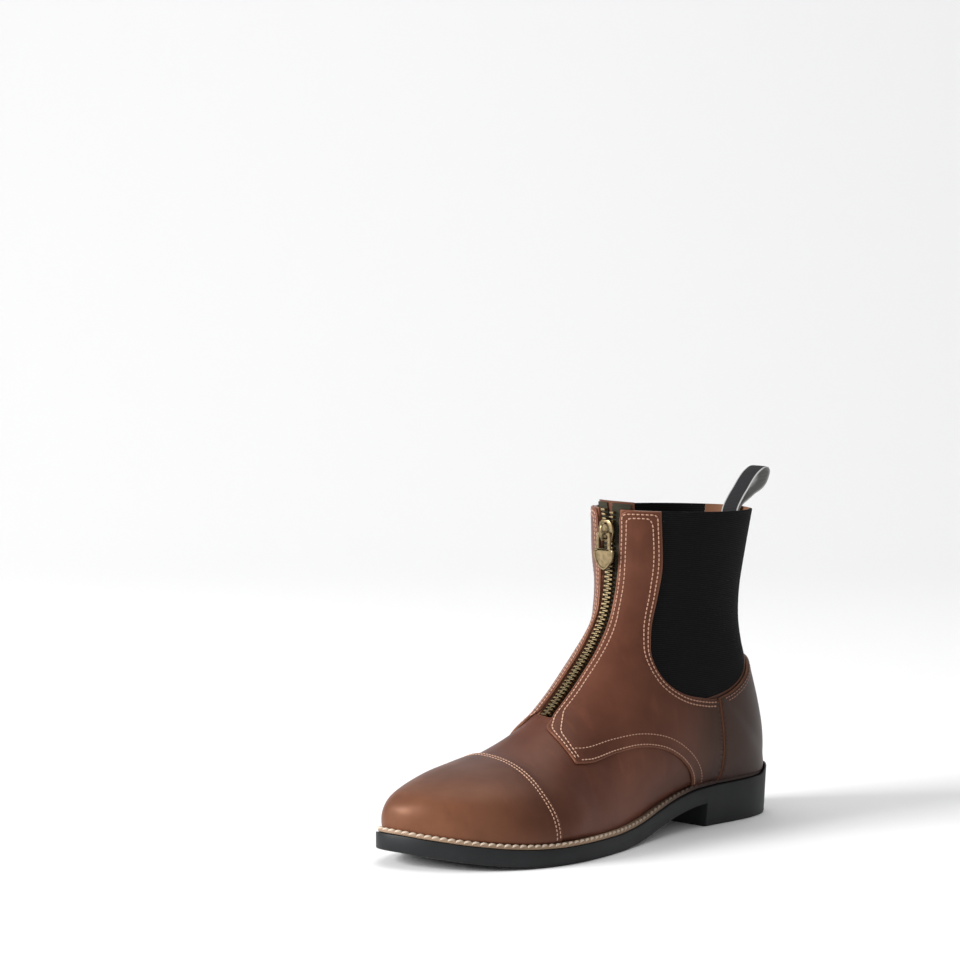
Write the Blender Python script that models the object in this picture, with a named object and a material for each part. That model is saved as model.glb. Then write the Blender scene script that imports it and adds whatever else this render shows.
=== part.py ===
"""Paddock boot for the left foot, built as a bootmaker puts it together.

The boot stands on the plane z = 0 with its toe towards -Y and its outer side towards +X.
All sizes are in metres. "Along" is measured from the back of the sole towards the toe.
"""

import math

import bmesh
import bpy
import numpy as np

# Driving sizes of the sole
SOLE_LENGTH = 0.278
SOLE_THICKNESS = 0.0092
HEEL_HEIGHT = 0.0232
HEEL_LENGTH = 0.0700
HEEL_TAPER = 0.0012
TOE_SPRING = 0.0088
WELT_THICKNESS = 0.0021
WELT_REACH = 0.0050
HEEL_WELT_REACH = 0.0014
HEEL_RIM_REACH = 0.0036
WELT_UNDERLAP = 0.0032
INSOLE_THICKNESS = 0.0030
LIP_HEIGHT = 0.0048
LIP_THICKNESS = 0.0010
LIP_FADE_FROM = 0.0060
LIP_LENGTH = 0.0240
LIP_INSET = 0.0001
LIP_ROOT = 0.0015

# Driving sizes of the last
BALL_WIDTH = 0.0865
HEEL_WIDTH = 0.0550
TOE_HEIGHT = 0.0234
INSTEP_HEIGHT = 0.0940
ANKLE_WIDTH = 0.0640
COLLAR_WIDTH = 0.0690
COLLAR_FRONT_HEIGHT = 0.1808
COLLAR_BACK_HEIGHT = 0.1745

# How far the upright wall of the heel reaches forwards and upwards
HEEL_WALL_DEPTH = 0.0400
HEEL_WALL_HEIGHT = 0.0700

# Leather, elastic and the gap that every two pieces keep
WALL = 0.0017
LEATHER = 0.0012
COUNTER_LEATHER = 0.0017
ELASTIC = 0.0014
ELASTIC_RECESS = 0.0002
GAP = 0.0003

# Zip
ZIP_OPENING = 0.0094
ZIP_TAPE = 0.0007
ZIP_TEETH = 0.0020
TAPE_RISE = 0.0030
TEETH_RISE = 0.0022
GUARD_WIDTH = 0.0300
GUARD_RISE = 0.0040
SLIDER_LENGTH = 0.0120
SLIDER_WIDTH = 0.0108
SLIDER_THICKNESS = 0.0016
SLIDER_LIFT = 0.0005
SLIDER_DROP = 0.0118
BRIDGE_LENGTH = 0.0096
BRIDGE_HEIGHT = 0.0040
BRIDGE_WIDTH = 0.0022
BRIDGE_BAR = 0.0011
HINGE_DROP = 0.0016
LINK_WIDTH = 0.0104
LINK_LENGTH = 0.0082
LINK_BAR = 0.0020
CROSS_BAR = 0.0016
SHIELD_WIDTH = 0.0148
SHIELD_LENGTH = 0.0120
PULL_THICKNESS = 0.0014

# Pull loop at the back of the collar
LOOP_TAPE_WIDTH = 0.0120
LOOP_TAPE = 0.0011
LOOP_HEIGHT = 0.0220
LOOP_DEPTH = 0.0150
LOOP_CLEARANCE = 0.0025

# Mesh fineness; the sections of the waist are split in two, because the sole curves most there
AROUND = 9
LIP_POINTS = 19
SPLIT_SECTIONS = range(11, 17)
PLATE_ROWS = 32
SECTION_SAMPLES = 60

# Sizes that follow
FOOT_ROWS = 21 + len(SPLIT_SECTIONS)
ZIP_FIRST_SECTION = 12
GORE_FIRST_SECTION = 18
CAP_LAST_SECTION = 18
QUARTER_FIRST_SECTION = 8
COUNTER_FIRST_SECTION = 17
HALF = SOLE_LENGTH / 2
UPPER_LENGTH = SOLE_LENGTH - WELT_REACH - HEEL_RIM_REACH
ARCH_RISE = HEEL_HEIGHT - SOLE_THICKNESS
WELT_TOP = GAP + WELT_THICKNESS
FEATHER_LIFT = WELT_TOP + GAP
BALL_LEVEL = SOLE_THICKNESS + FEATHER_LIFT
INSTEP_LEVEL = BALL_LEVEL + INSTEP_HEIGHT
HEEL_FEATHER = HEEL_HEIGHT + FEATHER_LIFT
SHAFT_RISE = COLLAR_FRONT_HEIGHT - INSTEP_LEVEL

# Feather line seen from above, where the upper meets the welt, from the heel to the toe.
# along: share of the upper's length; outer and inner: shares of the width named last.
OUTLINE = (
    (0.006, 0.145, 0.145, HEEL_WIDTH),
    (0.018, 0.275, 0.275, HEEL_WIDTH),
    (0.043, 0.390, 0.390, HEEL_WIDTH),
    (0.085, 0.470, 0.470, HEEL_WIDTH),
    (0.137, 0.500, 0.497, HEEL_WIDTH),
    (0.205, 0.496, 0.478, HEEL_WIDTH),
    (0.280, 0.487, 0.445, HEEL_WIDTH),
    (0.355, 0.331, 0.269, BALL_WIDTH),
    (0.430, 0.373, 0.268, BALL_WIDTH),
    (0.506, 0.428, 0.291, BALL_WIDTH),
    (0.581, 0.488, 0.340, BALL_WIDTH),
    (0.649, 0.529, 0.396, BALL_WIDTH),
    (0.712, 0.547, 0.438, BALL_WIDTH),
    (0.769, 0.532, 0.456, BALL_WIDTH),
    (0.836, 0.475, 0.438, BALL_WIDTH),
    (0.893, 0.372, 0.396, BALL_WIDTH),
    (0.938, 0.247, 0.350, BALL_WIDTH),
    (0.968, 0.115, 0.305, BALL_WIDTH),
    (0.987, 0.000, 0.262, BALL_WIDTH),
    (0.997, -0.098, 0.220, BALL_WIDTH),
)
TOE_TIP_PLACE = -0.1700

# Underside of the sole seen from the side.
# along: share of the sole's length; lift: share of the rise named last.
UNDERSIDE = (
    (0.000, 1.00, ARCH_RISE),
    (0.100, 0.99, ARCH_RISE),
    (0.200, 0.98, ARCH_RISE),
    (0.270, 0.91, ARCH_RISE),
    (0.340, 0.73, ARCH_RISE),
    (0.410, 0.45, ARCH_RISE),
    (0.470, 0.19, ARCH_RISE),
    (0.525, 0.05, ARCH_RISE),
    (0.580, 0.00, ARCH_RISE),
    (0.740, 0.00, TOE_SPRING),
    (0.800, 0.06, TOE_SPRING),
    (0.860, 0.22, TOE_SPRING),
    (0.920, 0.49, TOE_SPRING),
    (0.970, 0.80, TOE_SPRING),
    (1.000, 1.00, TOE_SPRING),
)

# Front profile of the upper on its ridge, from the toe to the collar.
# along: share of the sole's length; the height starts at base and adds share times rise.
FEATHER = None
FRONT = (
    (0.9822, FEATHER, 0.22, TOE_HEIGHT),
    (0.9775, FEATHER, 0.50, TOE_HEIGHT),
    (0.9590, FEATHER, 0.78, TOE_HEIGHT),
    (0.9230, FEATHER, 1.06, TOE_HEIGHT),
    (0.8600, BALL_LEVEL, 0.368, INSTEP_HEIGHT),
    (0.7950, BALL_LEVEL, 0.405, INSTEP_HEIGHT),
    (0.7300, BALL_LEVEL, 0.446, INSTEP_HEIGHT),
    (0.6790, BALL_LEVEL, 0.511, INSTEP_HEIGHT),
    (0.6140, BALL_LEVEL, 0.630, INSTEP_HEIGHT),
    (0.5740, BALL_LEVEL, 0.727, INSTEP_HEIGHT),
    (0.5290, BALL_LEVEL, 0.853, INSTEP_HEIGHT),
    (0.4820, BALL_LEVEL, 1.000, INSTEP_HEIGHT),
    (0.4430, INSTEP_LEVEL, 0.238, SHAFT_RISE),
    (0.4290, INSTEP_LEVEL, 0.528, SHAFT_RISE),
    (0.4300, INSTEP_LEVEL, 0.811, SHAFT_RISE),
    (0.4340, INSTEP_LEVEL, 1.000, SHAFT_RISE),
)

# Back profile on the centre line, from the feather line to the collar.
# along: share of the sole's length; up: share of the height from the feather line to the collar.
BACK = (
    (0.0080, 0.075),
    (0.0150, 0.145),
    (0.0310, 0.240),
    (0.0550, 0.350),
    (0.0740, 0.450),
    (0.0845, 0.550),
    (0.0820, 0.670),
    (0.0620, 0.840),
    (0.0390, 1.000),
)

# Sections of the foot, from the toe to the heel.
# under: where the section meets the feather line, as a share of the upper's length;
# front: where it meets the front profile, as a share of that profile's own length.
FOOT_SECTIONS = (
    (1.0000, 0.0000),
    (0.9980, 0.0154),
    (0.9925, 0.0346),
    (0.9810, 0.0577),
    (0.9605, 0.0846),
    (0.9300, 0.1220),
    (0.8910, 0.1690),
    (0.8440, 0.2230),
    (0.7900, 0.2850),
    (0.7330, 0.3460),
    (0.6750, 0.4080),
    (0.6110, 0.4690),
    (0.5400, 0.5310),
    (0.4610, 0.5880),
    (0.3740, 0.6380),
    (0.2840, 0.6810),
    (0.1940, 0.7150),
    (0.1190, 0.7420),
    (0.0605, 0.7635),
    (0.0330, 0.7810),
    (0.0180, 0.7940),
)

# Sections of the shaft, from the heel to the collar.
# up: where the section meets the back profile, front: where it meets the front profile, both as shares
# of that profile's own length.
SHAFT_SECTIONS = (
    (0.000, 0.8060),
    (0.060, 0.8210),
    (0.130, 0.8385),
    (0.220, 0.8580),
    (0.330, 0.8790),
    (0.450, 0.9000),
    (0.580, 0.9230),
    (0.720, 0.9500),
    (0.860, 0.9750),
    (1.000, 1.0000),
)

# Shape of the sections, given at a few of them and blended between.
# section: its number from the toe; ridge: sideways place of its top, as a share of the ball width;
# follow: how far its girth follows the feather line, times swell; outer and inner: girth where it doesn't,
# as shares of the width named next; low: height of its widest place as a share of the section;
# top_outer and top_inner: powers of the curve above that place, where 2 is an ellipse; under: power below it.
SHAPES = (
    (0, -0.1700, 1.00, 1.02, 0.50, 0.50, ANKLE_WIDTH, 0.34, 2.3, 2.3, 2.2),
    (3, -0.1500, 1.00, 1.03, 0.50, 0.50, ANKLE_WIDTH, 0.33, 2.4, 2.3, 2.2),
    (6, -0.1150, 1.00, 1.04, 0.50, 0.50, ANKLE_WIDTH, 0.30, 2.3, 2.2, 2.2),
    (9, -0.0810, 1.00, 1.04, 0.58, 0.56, ANKLE_WIDTH, 0.26, 2.0, 2.0, 2.2),
    (11, -0.0640, 0.70, 1.03, 0.58, 0.56, ANKLE_WIDTH, 0.28, 1.9, 1.7, 2.2),
    (13, -0.0460, 0.25, 1.03, 0.56, 0.55, ANKLE_WIDTH, 0.34, 1.9, 1.7, 2.2),
    (15, -0.0290, 0.00, 1.00, 0.54, 0.52, ANKLE_WIDTH, 0.40, 1.9, 1.8, 2.3),
    (18, -0.0100, 0.00, 1.00, 0.52, 0.50, ANKLE_WIDTH, 0.45, 2.0, 1.9, 2.4),
    (21, 0.0000, 0.00, 1.00, 0.50, 0.50, ANKLE_WIDTH, 0.48, 2.0, 2.0, 2.5),
    (24, 0.0000, 0.00, 1.00, 0.50, 0.50, ANKLE_WIDTH, 0.50, 2.0, 2.0, 2.3),
    (26, 0.0000, 0.00, 1.00, 0.48, 0.48, COLLAR_WIDTH, 0.50, 2.0, 2.0, 2.1),
    (28, 0.0000, 0.00, 1.00, 0.49, 0.49, COLLAR_WIDTH, 0.50, 2.0, 2.0, 2.0),
    (30, 0.0000, 0.00, 1.00, 0.50, 0.50, COLLAR_WIDTH, 0.50, 2.0, 2.0, 2.0),
)

# Edges of the pieces seen from the side.
# along: share of the sole's length from its back; up: share of the height of the collar's back.
CAP_LINE = (
    (0.7450, -0.0500),
    (0.7460, 0.0600),
    (0.7500, 0.1370),
    (0.7560, 0.2120),
    (0.7500, 0.2770),
    (0.7450, 0.3400),
    (0.7430, 0.4200),
)
ZIP_END = (0.6140, 0.4020)
QUARTER_FRONT = ((0.6140, 0.4020), (0.6340, 0.3740), (0.6410, 0.3300), (0.6420, 0.2780))
QUARTER_ARCH = (
    (0.6420, 0.2780),
    (0.6000, 0.2760),
    (0.5300, 0.2930),
    (0.4570, 0.2990),
    (0.3900, 0.2750),
    (0.3300, 0.2150),
    (0.2950, 0.1500),
    (0.2800, 0.0900),
)
SEAM_LINE = ((0.2150, 0.0900), (0.2160, 0.1550), (0.2230, 0.2790), (0.2340, 0.4150))
COUNTER_TOP = (
    (0.2340, 0.4150),
    (0.1900, 0.4310),
    (0.1400, 0.4700),
    (0.1100, 0.5100),
    (0.0850, 0.5300),
    (0.0400, 0.5350),
)
GORE_FRONT = (
    (0.3720, 1.1200),
    (0.3720, 1.0160),
    (0.3700, 0.7800),
    (0.3860, 0.6400),
    (0.3910, 0.5610),
    (0.3740, 0.4960),
    (0.3270, 0.4450),
    (0.2640, 0.4200),
)
GORE_BACK = (
    (0.2640, 0.4200),
    (0.1900, 0.4400),
    (0.1320, 0.4930),
    (0.1120, 0.5600),
    (0.1040, 0.6500),
    (0.0940, 0.8000),
    (0.0660, 1.0200),
    (0.0640, 1.1200),
)

# Half widths across the zip, whose halves part above the slider.
# up: share of the height of the collar's front; edge: the leather's edges; chain: outer edges of the teeth;
# notch: their inner edges; tape: outer edges of the tape, all as shares of ZIP_OPENING.
ZIP_SPREAD = (
    (0.150, 0.50, 0.30, 0.00, 1.12),
    (0.690, 0.50, 0.30, 0.00, 1.12),
    (0.930, 0.82, 0.30, 0.00, 1.25),
    (1.100, 0.92, 0.81, 0.51, 1.60),
)

# Outer face of the pull loop seen from the side.
# back: backwards from the collar's back edge; up: above it, both as shares of LOOP_HEIGHT.
LOOP_FACE = (
    (-0.196, 0.011),
    (-0.064, 0.073),
    (0.118, 0.164),
    (0.393, 0.305),
    (0.741, 0.464),
    (0.923, 0.705),
    (0.973, 0.882),
    (0.900, 0.982),
    (0.795, 1.000),
    (0.614, 0.936),
    (0.393, 0.791),
    (0.077, 0.459),
    (-0.140, 0.227),
    (-0.296, 0.000),
)

# Half of the shield's outline. across: share of half SHIELD_WIDTH; down: share of SHIELD_LENGTH.
SHIELD = (
    (0.62, 0.000),
    (0.95, 0.060),
    (1.00, 0.200),
    (0.90, 0.480),
    (0.55, 0.800),
    (0.22, 0.960),
    (0.00, 1.000),
)

# Colours: red, green, blue, roughness and metallic value
COLOURS = {
    "leather": (0.165, 0.062, 0.040, 0.42, 0.0),
    "dark_leather": (0.050, 0.022, 0.016, 0.45, 0.0),
    "lining": (0.190, 0.085, 0.050, 0.60, 0.0),
    "elastic": (0.012, 0.012, 0.012, 0.75, 0.0),
    "welt": (0.560, 0.430, 0.320, 0.60, 0.0),
    "rubber": (0.022, 0.024, 0.026, 0.50, 0.0),
    "board": (0.230, 0.120, 0.070, 0.70, 0.0),
    "tape": (0.030, 0.027, 0.018, 0.80, 0.0),
    "webbing": (0.015, 0.015, 0.016, 0.80, 0.0),
    "brass": (0.300, 0.230, 0.130, 0.35, 1.0),
}


# Frames: origin, direction across, direction up and normal
SIDE_VIEW = ((0, HALF, 0), (0, -1, 0), (0, 0, 1), (1, 0, 0))
FRONT_VIEW = ((0, 0, 0), (1, 0, 0), (0, 0, 1), (0, -1, 0))


def smooth_line(points, closed=False, per_span=12):
    """Curve through the points whose tangents follow its neighbours, as closely spaced points."""
    p = np.asarray(points, float)
    if closed:
        p = np.vstack([p[-2:], p, p[:3]])
    step = np.maximum(np.linalg.norm(np.diff(p, axis=0), axis=1), 1e-9) ** 0.5
    t = np.concatenate([[0.0], np.cumsum(step)])
    slope = np.diff(p, axis=0) / step[:, None]
    tangent = np.empty_like(p)
    weight = (step[1:] / (step[:-1] + step[1:]))[:, None]
    tangent[1:-1] = weight * slope[:-1] + (1 - weight) * slope[1:]
    tangent[0], tangent[-1] = slope[0], slope[-1]
    first, last = (2, len(p) - 3) if closed else (0, len(p) - 1)
    k = np.repeat(np.arange(first, last), per_span)
    w = np.tile(np.arange(per_span) / per_span, last - first)
    if not closed:
        k, w = np.append(k, last - 1), np.append(w, 1.0)
    h = (t[k + 1] - t[k])[:, None]
    w = w[:, None]
    return (
        (2 * w**3 - 3 * w**2 + 1) * p[k]
        + (w**3 - 2 * w**2 + w) * h * tangent[k]
        + (3 * w**2 - 2 * w**3) * p[k + 1]
        + (w**3 - w**2) * h * tangent[k + 1]
    )


def at_share(line, share):
    """Points at shares of a line's length."""
    length = np.concatenate([[0.0], np.cumsum(np.linalg.norm(np.diff(line, axis=0), axis=1))])
    where = np.asarray(share) * length[-1]
    return np.stack([np.interp(where, length, line[:, k]) for k in range(line.shape[1])], -1)


def share_at(line, point):
    """Share of a line's length at its point nearest to another."""
    length = np.concatenate([[0.0], np.cumsum(np.linalg.norm(np.diff(line, axis=0), axis=1))])
    return length[np.argmin(np.linalg.norm(line - np.asarray(point), axis=1))] / length[-1]


def blend(x, xs, ys):
    """Smooth values between table rows that never pass beyond them."""
    x, xs, ys = (np.asarray(v, float) for v in (x, xs, ys))
    step = np.diff(xs)
    slope = np.diff(ys) / step
    tangent = np.zeros_like(ys)
    both = slope[:-1] * slope[1:] > 0
    total = slope[:-1] + slope[1:]
    tangent[1:-1][both] = 2 * slope[:-1][both] * slope[1:][both] / total[both]
    k = np.clip(np.searchsorted(xs, x, side="right") - 1, 0, len(xs) - 2)
    w = np.clip((x - xs[k]) / step[k], 0.0, 1.0)
    return (
        (2 * w**3 - 3 * w**2 + 1) * ys[k]
        + (w**3 - 2 * w**2 + w) * step[k] * tangent[k]
        + (3 * w**2 - 2 * w**3) * ys[k + 1]
        + (w**3 - w**2) * step[k] * tangent[k + 1]
    )


def offset_line(line, distance, closed):
    """The line moved sideways by a distance, to the right of its direction; one distance or one a point."""
    ahead = np.roll(line, -1, axis=0) - np.roll(line, 1, axis=0)
    if not closed:
        ahead[0], ahead[-1] = line[1] - line[0], line[-1] - line[-2]
    ahead /= np.linalg.norm(ahead, axis=1)[:, None]
    right = np.stack([ahead[:, 1], -ahead[:, 0]], -1)
    return line + right * np.reshape(distance, (-1, 1))


PLATE_STATIONS = HALF * (1 - np.cos(np.linspace(0, math.pi, PLATE_ROWS)))
UNDERSIDE_ALONG = [row[0] * SOLE_LENGTH for row in UNDERSIDE]
UNDERSIDE_LIFT = [row[1] * row[2] for row in UNDERSIDE]


def underside(along):
    """Height of the sole's underside, straight between the plates' stations."""
    lift = blend(PLATE_STATIONS, UNDERSIDE_ALONG, UNDERSIDE_LIFT)
    return np.interp(along, PLATE_STATIONS, lift)


def feather_height(along):
    return underside(along) + SOLE_THICKNESS + FEATHER_LIFT


def feather_line():
    """Closed line (x, along) of the feather, from the heel's back along the outer side and back."""
    heel = HEEL_RIM_REACH
    outer = [(row[1] * row[3], heel + row[0] * UPPER_LENGTH) for row in OUTLINE]
    inner = [(-row[2] * row[3], heel + row[0] * UPPER_LENGTH) for row in reversed(OUTLINE)]
    tip = [(TOE_TIP_PLACE * BALL_WIDTH, heel + UPPER_LENGTH)]
    return smooth_line([(0.0, heel)] + outer + tip + inner, closed=True, per_span=10)


def reach_line(heel_reach, toe_reach):
    """The feather line moved outwards, by one reach round the heel and another round the foot."""
    line = feather_line()
    share = blend(line[:, 1] / SOLE_LENGTH, (0.0, 0.15, 0.5, 1.0), (0.0, 0.0, 1.0, 1.0))
    moved = offset_line(line, heel_reach + (toe_reach - heel_reach) * share, closed=True)
    return moved


def half_widths(line, along):
    """Place of a closed outline's outer and inner side at distances along the boot."""
    heel, toe = np.argmin(line[:, 1]), np.argmax(line[:, 1])
    turned = np.roll(line, -heel, axis=0)
    toe = (toe - heel) % len(line)
    outer = turned[: toe + 1]
    inner = np.vstack([turned[toe:], turned[:1]])[::-1]
    return np.interp(along, outer[:, 1], outer[:, 0]), np.interp(along, inner[:, 1], inner[:, 0])


def feather_length(line, along, sign):
    """Length of the feather line from the heel's back to a distance along the boot, on one side."""
    part = line[(line[:, 1] <= along) & (sign * line[:, 0] >= 0)]
    part = part[np.argsort(part[:, 1])]
    return np.linalg.norm(np.diff(part, axis=0), axis=1).sum()


def front_line():
    """Front profile (along, z) from the toe's tip to the collar."""
    tip = HEEL_RIM_REACH + UPPER_LENGTH
    points = [(tip, feather_height(tip))]
    for share, base, rise_share, rise in FRONT:
        along = share * SOLE_LENGTH
        level = feather_height(along) if base is FEATHER else base
        points.append((along, level + rise_share * rise))
    return smooth_line(points)


def back_line():
    """Back profile (along, z) from the feather line to the collar."""
    foot = feather_height(HEEL_RIM_REACH)
    rise = COLLAR_BACK_HEIGHT - foot
    points = [(HEEL_RIM_REACH, foot)]
    points += [(share * SOLE_LENGTH, foot + up * rise) for share, up in BACK]
    return smooth_line(points)


def ease(share):
    """Soft step from 0 to 1."""
    share = np.clip(share, 0.0, 1.0)
    return share * share * (3 - 2 * share)


def column_shares(girth, behind):
    """Places of the columns down a half section, as shares of it from its ridge.

    Behind is the length of feather line that the section leaves behind it at the heel. The columns are
    spaced as if the section ran on over that length, and then crowd together before the feather line.
    """
    ratio = (girth + behind) / girth
    crowd = max(1.0, min(6.0, 0.8 * ratio / max(ratio - 1, 1e-6)))
    place = np.linspace(0, ratio, AROUND + 1)
    return place - (ratio - 1) * (place / ratio) ** crowd


def last_surface():
    """Grid of points on the upper's outer face: a row for each section, from the toe to the collar.

    A section is a plane curve between a lower point, on the feather line or the back profile, and a point
    of the front profile. Its columns run from the inner side over the ridge to the outer side. Low down
    at the heel the section takes its width from the feather line, so that the heel's wall stands upright.
    """
    outline, front, back = feather_line(), front_line(), back_line()
    back_share, shaft_front = np.array(SHAFT_SECTIONS).T
    number = np.array(sorted([*range(len(FOOT_SECTIONS)), *(k + 0.5 for k in SPLIT_SECTIONS)]))
    foot = len(number)
    under_share, foot_front = (blend(number, range(len(FOOT_SECTIONS)), c) for c in zip(*FOOT_SECTIONS))
    under = HEEL_RIM_REACH + under_share * UPPER_LENGTH
    number = np.append(number, len(FOOT_SECTIONS) + np.arange(len(SHAFT_SECTIONS)))
    low = np.vstack([np.stack([under, feather_height(under)], -1), at_share(back, back_share)])
    high = at_share(front, np.concatenate([foot_front, shaft_front]))
    table = np.array([[float(v) for v in row] for row in SHAPES]).T
    ridge, follow, swell = (blend(number, table[0], column) for column in table[1:4])
    girth = [blend(number, table[0], table[k] * table[6]) for k in (4, 5)]
    wide_at, top_outer, top_inner, power = (blend(number, table[0], column) for column in table[7:11])
    angle = np.linspace(0, math.pi / 2, SECTION_SAMPLES)
    rows = []
    for j in range(len(number)):
        edges = half_widths(outline, low[j, 0]) if j < foot else (0.0, 0.0)
        centre = follow[j] * sum(edges) / 2
        sides = (
            (-1.0, centre - edges[1], girth[1][j], top_inner[j]),
            (1.0, edges[0] - centre, girth[0][j], top_outer[j]),
        )
        halves = []
        for sign, edge, own, top in sides:
            reach = follow[j] * swell[j] * edge + (1 - follow[j]) * own
            top_place = (ridge[j] * BALL_WIDTH - centre) * sign
            start = (1 - min(edge / max(reach, 1e-9), 1.0) ** power[j]) ** (1 / power[j])
            lower_q = wide_at[j] * (1 - start * np.cos(angle))
            lower_x = reach * (1 - (start * np.cos(angle)) ** power[j]) ** (1 / power[j])
            upper_q = wide_at[j] + (1 - wide_at[j]) * np.sin(angle)
            upper_x = top_place + (reach - top_place) * (1 - np.sin(angle) ** top) ** (1 / top)
            q = np.concatenate([lower_q[:-1], upper_q])
            q = (q - q[0]) / (1 - q[0])
            x = np.concatenate([lower_x[:-1], upper_x])
            along, z = low[j][:, None] + (high[j] - low[j])[:, None] * q
            from_back = along - np.interp(z, back[:, 1], back[:, 0])
            wall = np.abs(half_widths(outline, HEEL_RIM_REACH + from_back)[0 if sign > 0 else 1])
            share = (1 - ease(from_back / HEEL_WALL_DEPTH)) * (1 - ease((z - HEEL_FEATHER) / HEEL_WALL_HEIGHT))
            x = centre + sign * (x + share * (wall - x))
            half = np.stack([x, HALF - along, z], -1)[::-1]
            length = np.linalg.norm(np.diff(half, axis=0), axis=1).sum()
            behind = feather_length(outline, low[j, 0], sign) if j < foot else 0.0
            halves.append(at_share(half, column_shares(max(length, 1e-9), behind)))
        rows.append(np.vstack([halves[0][::-1], halves[1][1:]]))
    rows[0][:] = rows[0].mean(axis=0)
    return np.array(rows)


def grid_triangles(rows, columns, sides=None):
    """Corners of the grid's triangles, split along diagonals that are mirrored about the ridge."""
    ridge = AROUND - (sides[0] if sides else 0)
    corners = []
    for j in range(rows - 1):
        for i in range(columns - 1):
            a, b, c, d = (j, i), (j, i + 1), (j + 1, i + 1), (j + 1, i)
            corners += [(a, b, c), (a, c, d)] if i >= ridge else [(a, b, d), (b, c, d)]
    return corners


def surface_normals(grid):
    """Outward direction at each grid point, the mean of the triangles round it.

    Along the feather line it is level, so that the edge of every layer stays flat on the welt.
    """
    normal = np.zeros_like(grid)
    for corners in grid_triangles(*grid.shape[:2]):
        a, b, c = (grid[k] for k in corners)
        face = np.cross(b - a, c - a)
        for k in corners:
            normal[k] += face
    normal[0] = normal[0].sum(axis=0)
    both = normal[FOOT_ROWS:, 0] + normal[FOOT_ROWS:, -1]
    normal[FOOT_ROWS:, 0] = normal[FOOT_ROWS:, -1] = both
    normal[: FOOT_ROWS + 1, [0, -1], 2] = 0.0
    normal[0, :, 2] = 0.0
    return normal / np.linalg.norm(normal, axis=2)[:, :, None]


def material(name):
    """Principled material in one of the named colours."""
    found = bpy.data.materials.get(name)
    if found:
        return found
    red, green, blue, rough, metal = COLOURS[name]
    made = bpy.data.materials.new(name)
    made.use_nodes = True
    shader = made.node_tree.nodes["Principled BSDF"]
    shader.inputs["Base Color"].default_value = (red, green, blue, 1.0)
    shader.inputs["Roughness"].default_value = rough
    shader.inputs["Metallic"].default_value = metal
    made.diffuse_color = (red, green, blue, 1.0)
    return made


def add_object(name, verts, faces, colour):
    """Object from points and faces, with doubled points merged and every face turned outwards."""
    mesh = bpy.data.meshes.new(name)
    work = bmesh.new()
    made = [work.verts.new(v) for v in verts]
    for face in faces:
        work.faces.new([made[k] for k in face])
    bmesh.ops.remove_doubles(work, verts=work.verts, dist=1e-6)
    bmesh.ops.recalc_face_normals(work, faces=work.faces)
    work.to_mesh(mesh)
    work.free()
    mesh.materials.append(material(colour))
    thing = bpy.data.objects.new(name, mesh)
    bpy.context.collection.objects.link(thing)
    return thing


def shell_faces(rows, columns, seam_from, sides=None):
    """Triangles of a closed shell over two grids; from row seam_from on, its first and last columns are one."""
    def outer(j, i):
        return j * columns + i

    def inner(j, i):
        return (rows + j) * columns + i

    faces = [tuple(place(*k) for k in corners)
             for corners in grid_triangles(rows, columns, sides) for place in (outer, inner)]
    for j in range(seam_from):
        for i in (0, columns - 1):
            faces.append((outer(j, i), outer(j + 1, i), inner(j + 1, i), inner(j, i)))
    for i in range(columns - 1):
        for j in (0, rows - 1):
            faces.append((outer(j, i), outer(j, i + 1), inner(j, i + 1), inner(j, i)))
    return faces


def offset_grid(distance):
    """The upper's outer face moved outwards, with its lower edge still level with the welt's top."""
    moved = GRID + NORMAL * distance
    for place in ((slice(0, FOOT_ROWS + 1), [0, -1]), (0, slice(None))):
        moved[place + (2,)] = feather_height(HALF - moved[place + (1,)])
    return moved


def layer(name, low, high, colour, rise=0.0, first=0, last=None, sides=None):
    """Closed shell between two distances from the upper's outer face, raised above the collar by rise.

    It takes the sections from first to before last, and the columns in sides if they are given.
    """
    faces = []
    for distance in (high, low):
        grid = offset_grid(distance)[first:last, slice(*sides or (None,))]
        if rise:
            step = grid[-1] - grid[-2]
            step /= np.linalg.norm(step, axis=1)[:, None]
            grid = np.concatenate([grid, grid[-1:] + step * rise])
        faces.append(grid)
    rows, columns = faces[0].shape[:2]
    points = np.concatenate(faces).reshape(-1, 3)
    seam_from = rows - 1 if sides else min(max(FOOT_ROWS - first, 0), rows - 1)
    return add_object(name, points, shell_faces(rows, columns, seam_from, sides), colour)


def prism(name, outline, frame, low, high, colour):
    """Closed outline (across, up) in a frame's plane, carried along its normal from low to high."""
    place, across, up, out = (np.asarray(v, float) for v in frame)
    count = len(outline)
    verts = [place + a * across + b * up + depth * out for depth in (low, high) for a, b in outline]
    faces = [tuple(range(count)), tuple(range(2 * count - 1, count - 1, -1))]
    for k in range(count):
        after = (k + 1) % count
        faces.append((k, k + count, after + count, after))
    return add_object(name, verts, faces, colour)


def side_cutter(points, x_from, x_to):
    """Prism across the boot whose outline, seen from the side, is the closed line (along, z)."""
    return prism("cutter", points, SIDE_VIEW, x_from, x_to, "rubber")


def zip_cutter(column, y_from=-0.12, y_to=0.045):
    """Prism through the boot's front as wide as one column of ZIP_SPREAD."""
    rows = [(row[column] * ZIP_OPENING, row[0] * COLLAR_FRONT_HEIGHT) for row in ZIP_SPREAD]
    while rows[1][0] == 0:
        rows = rows[1:]
    outline = rows + [(-half, height) for half, height in reversed(rows) if half]
    return prism("cutter", outline, FRONT_VIEW, -y_to, -y_from, "rubber")


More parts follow.
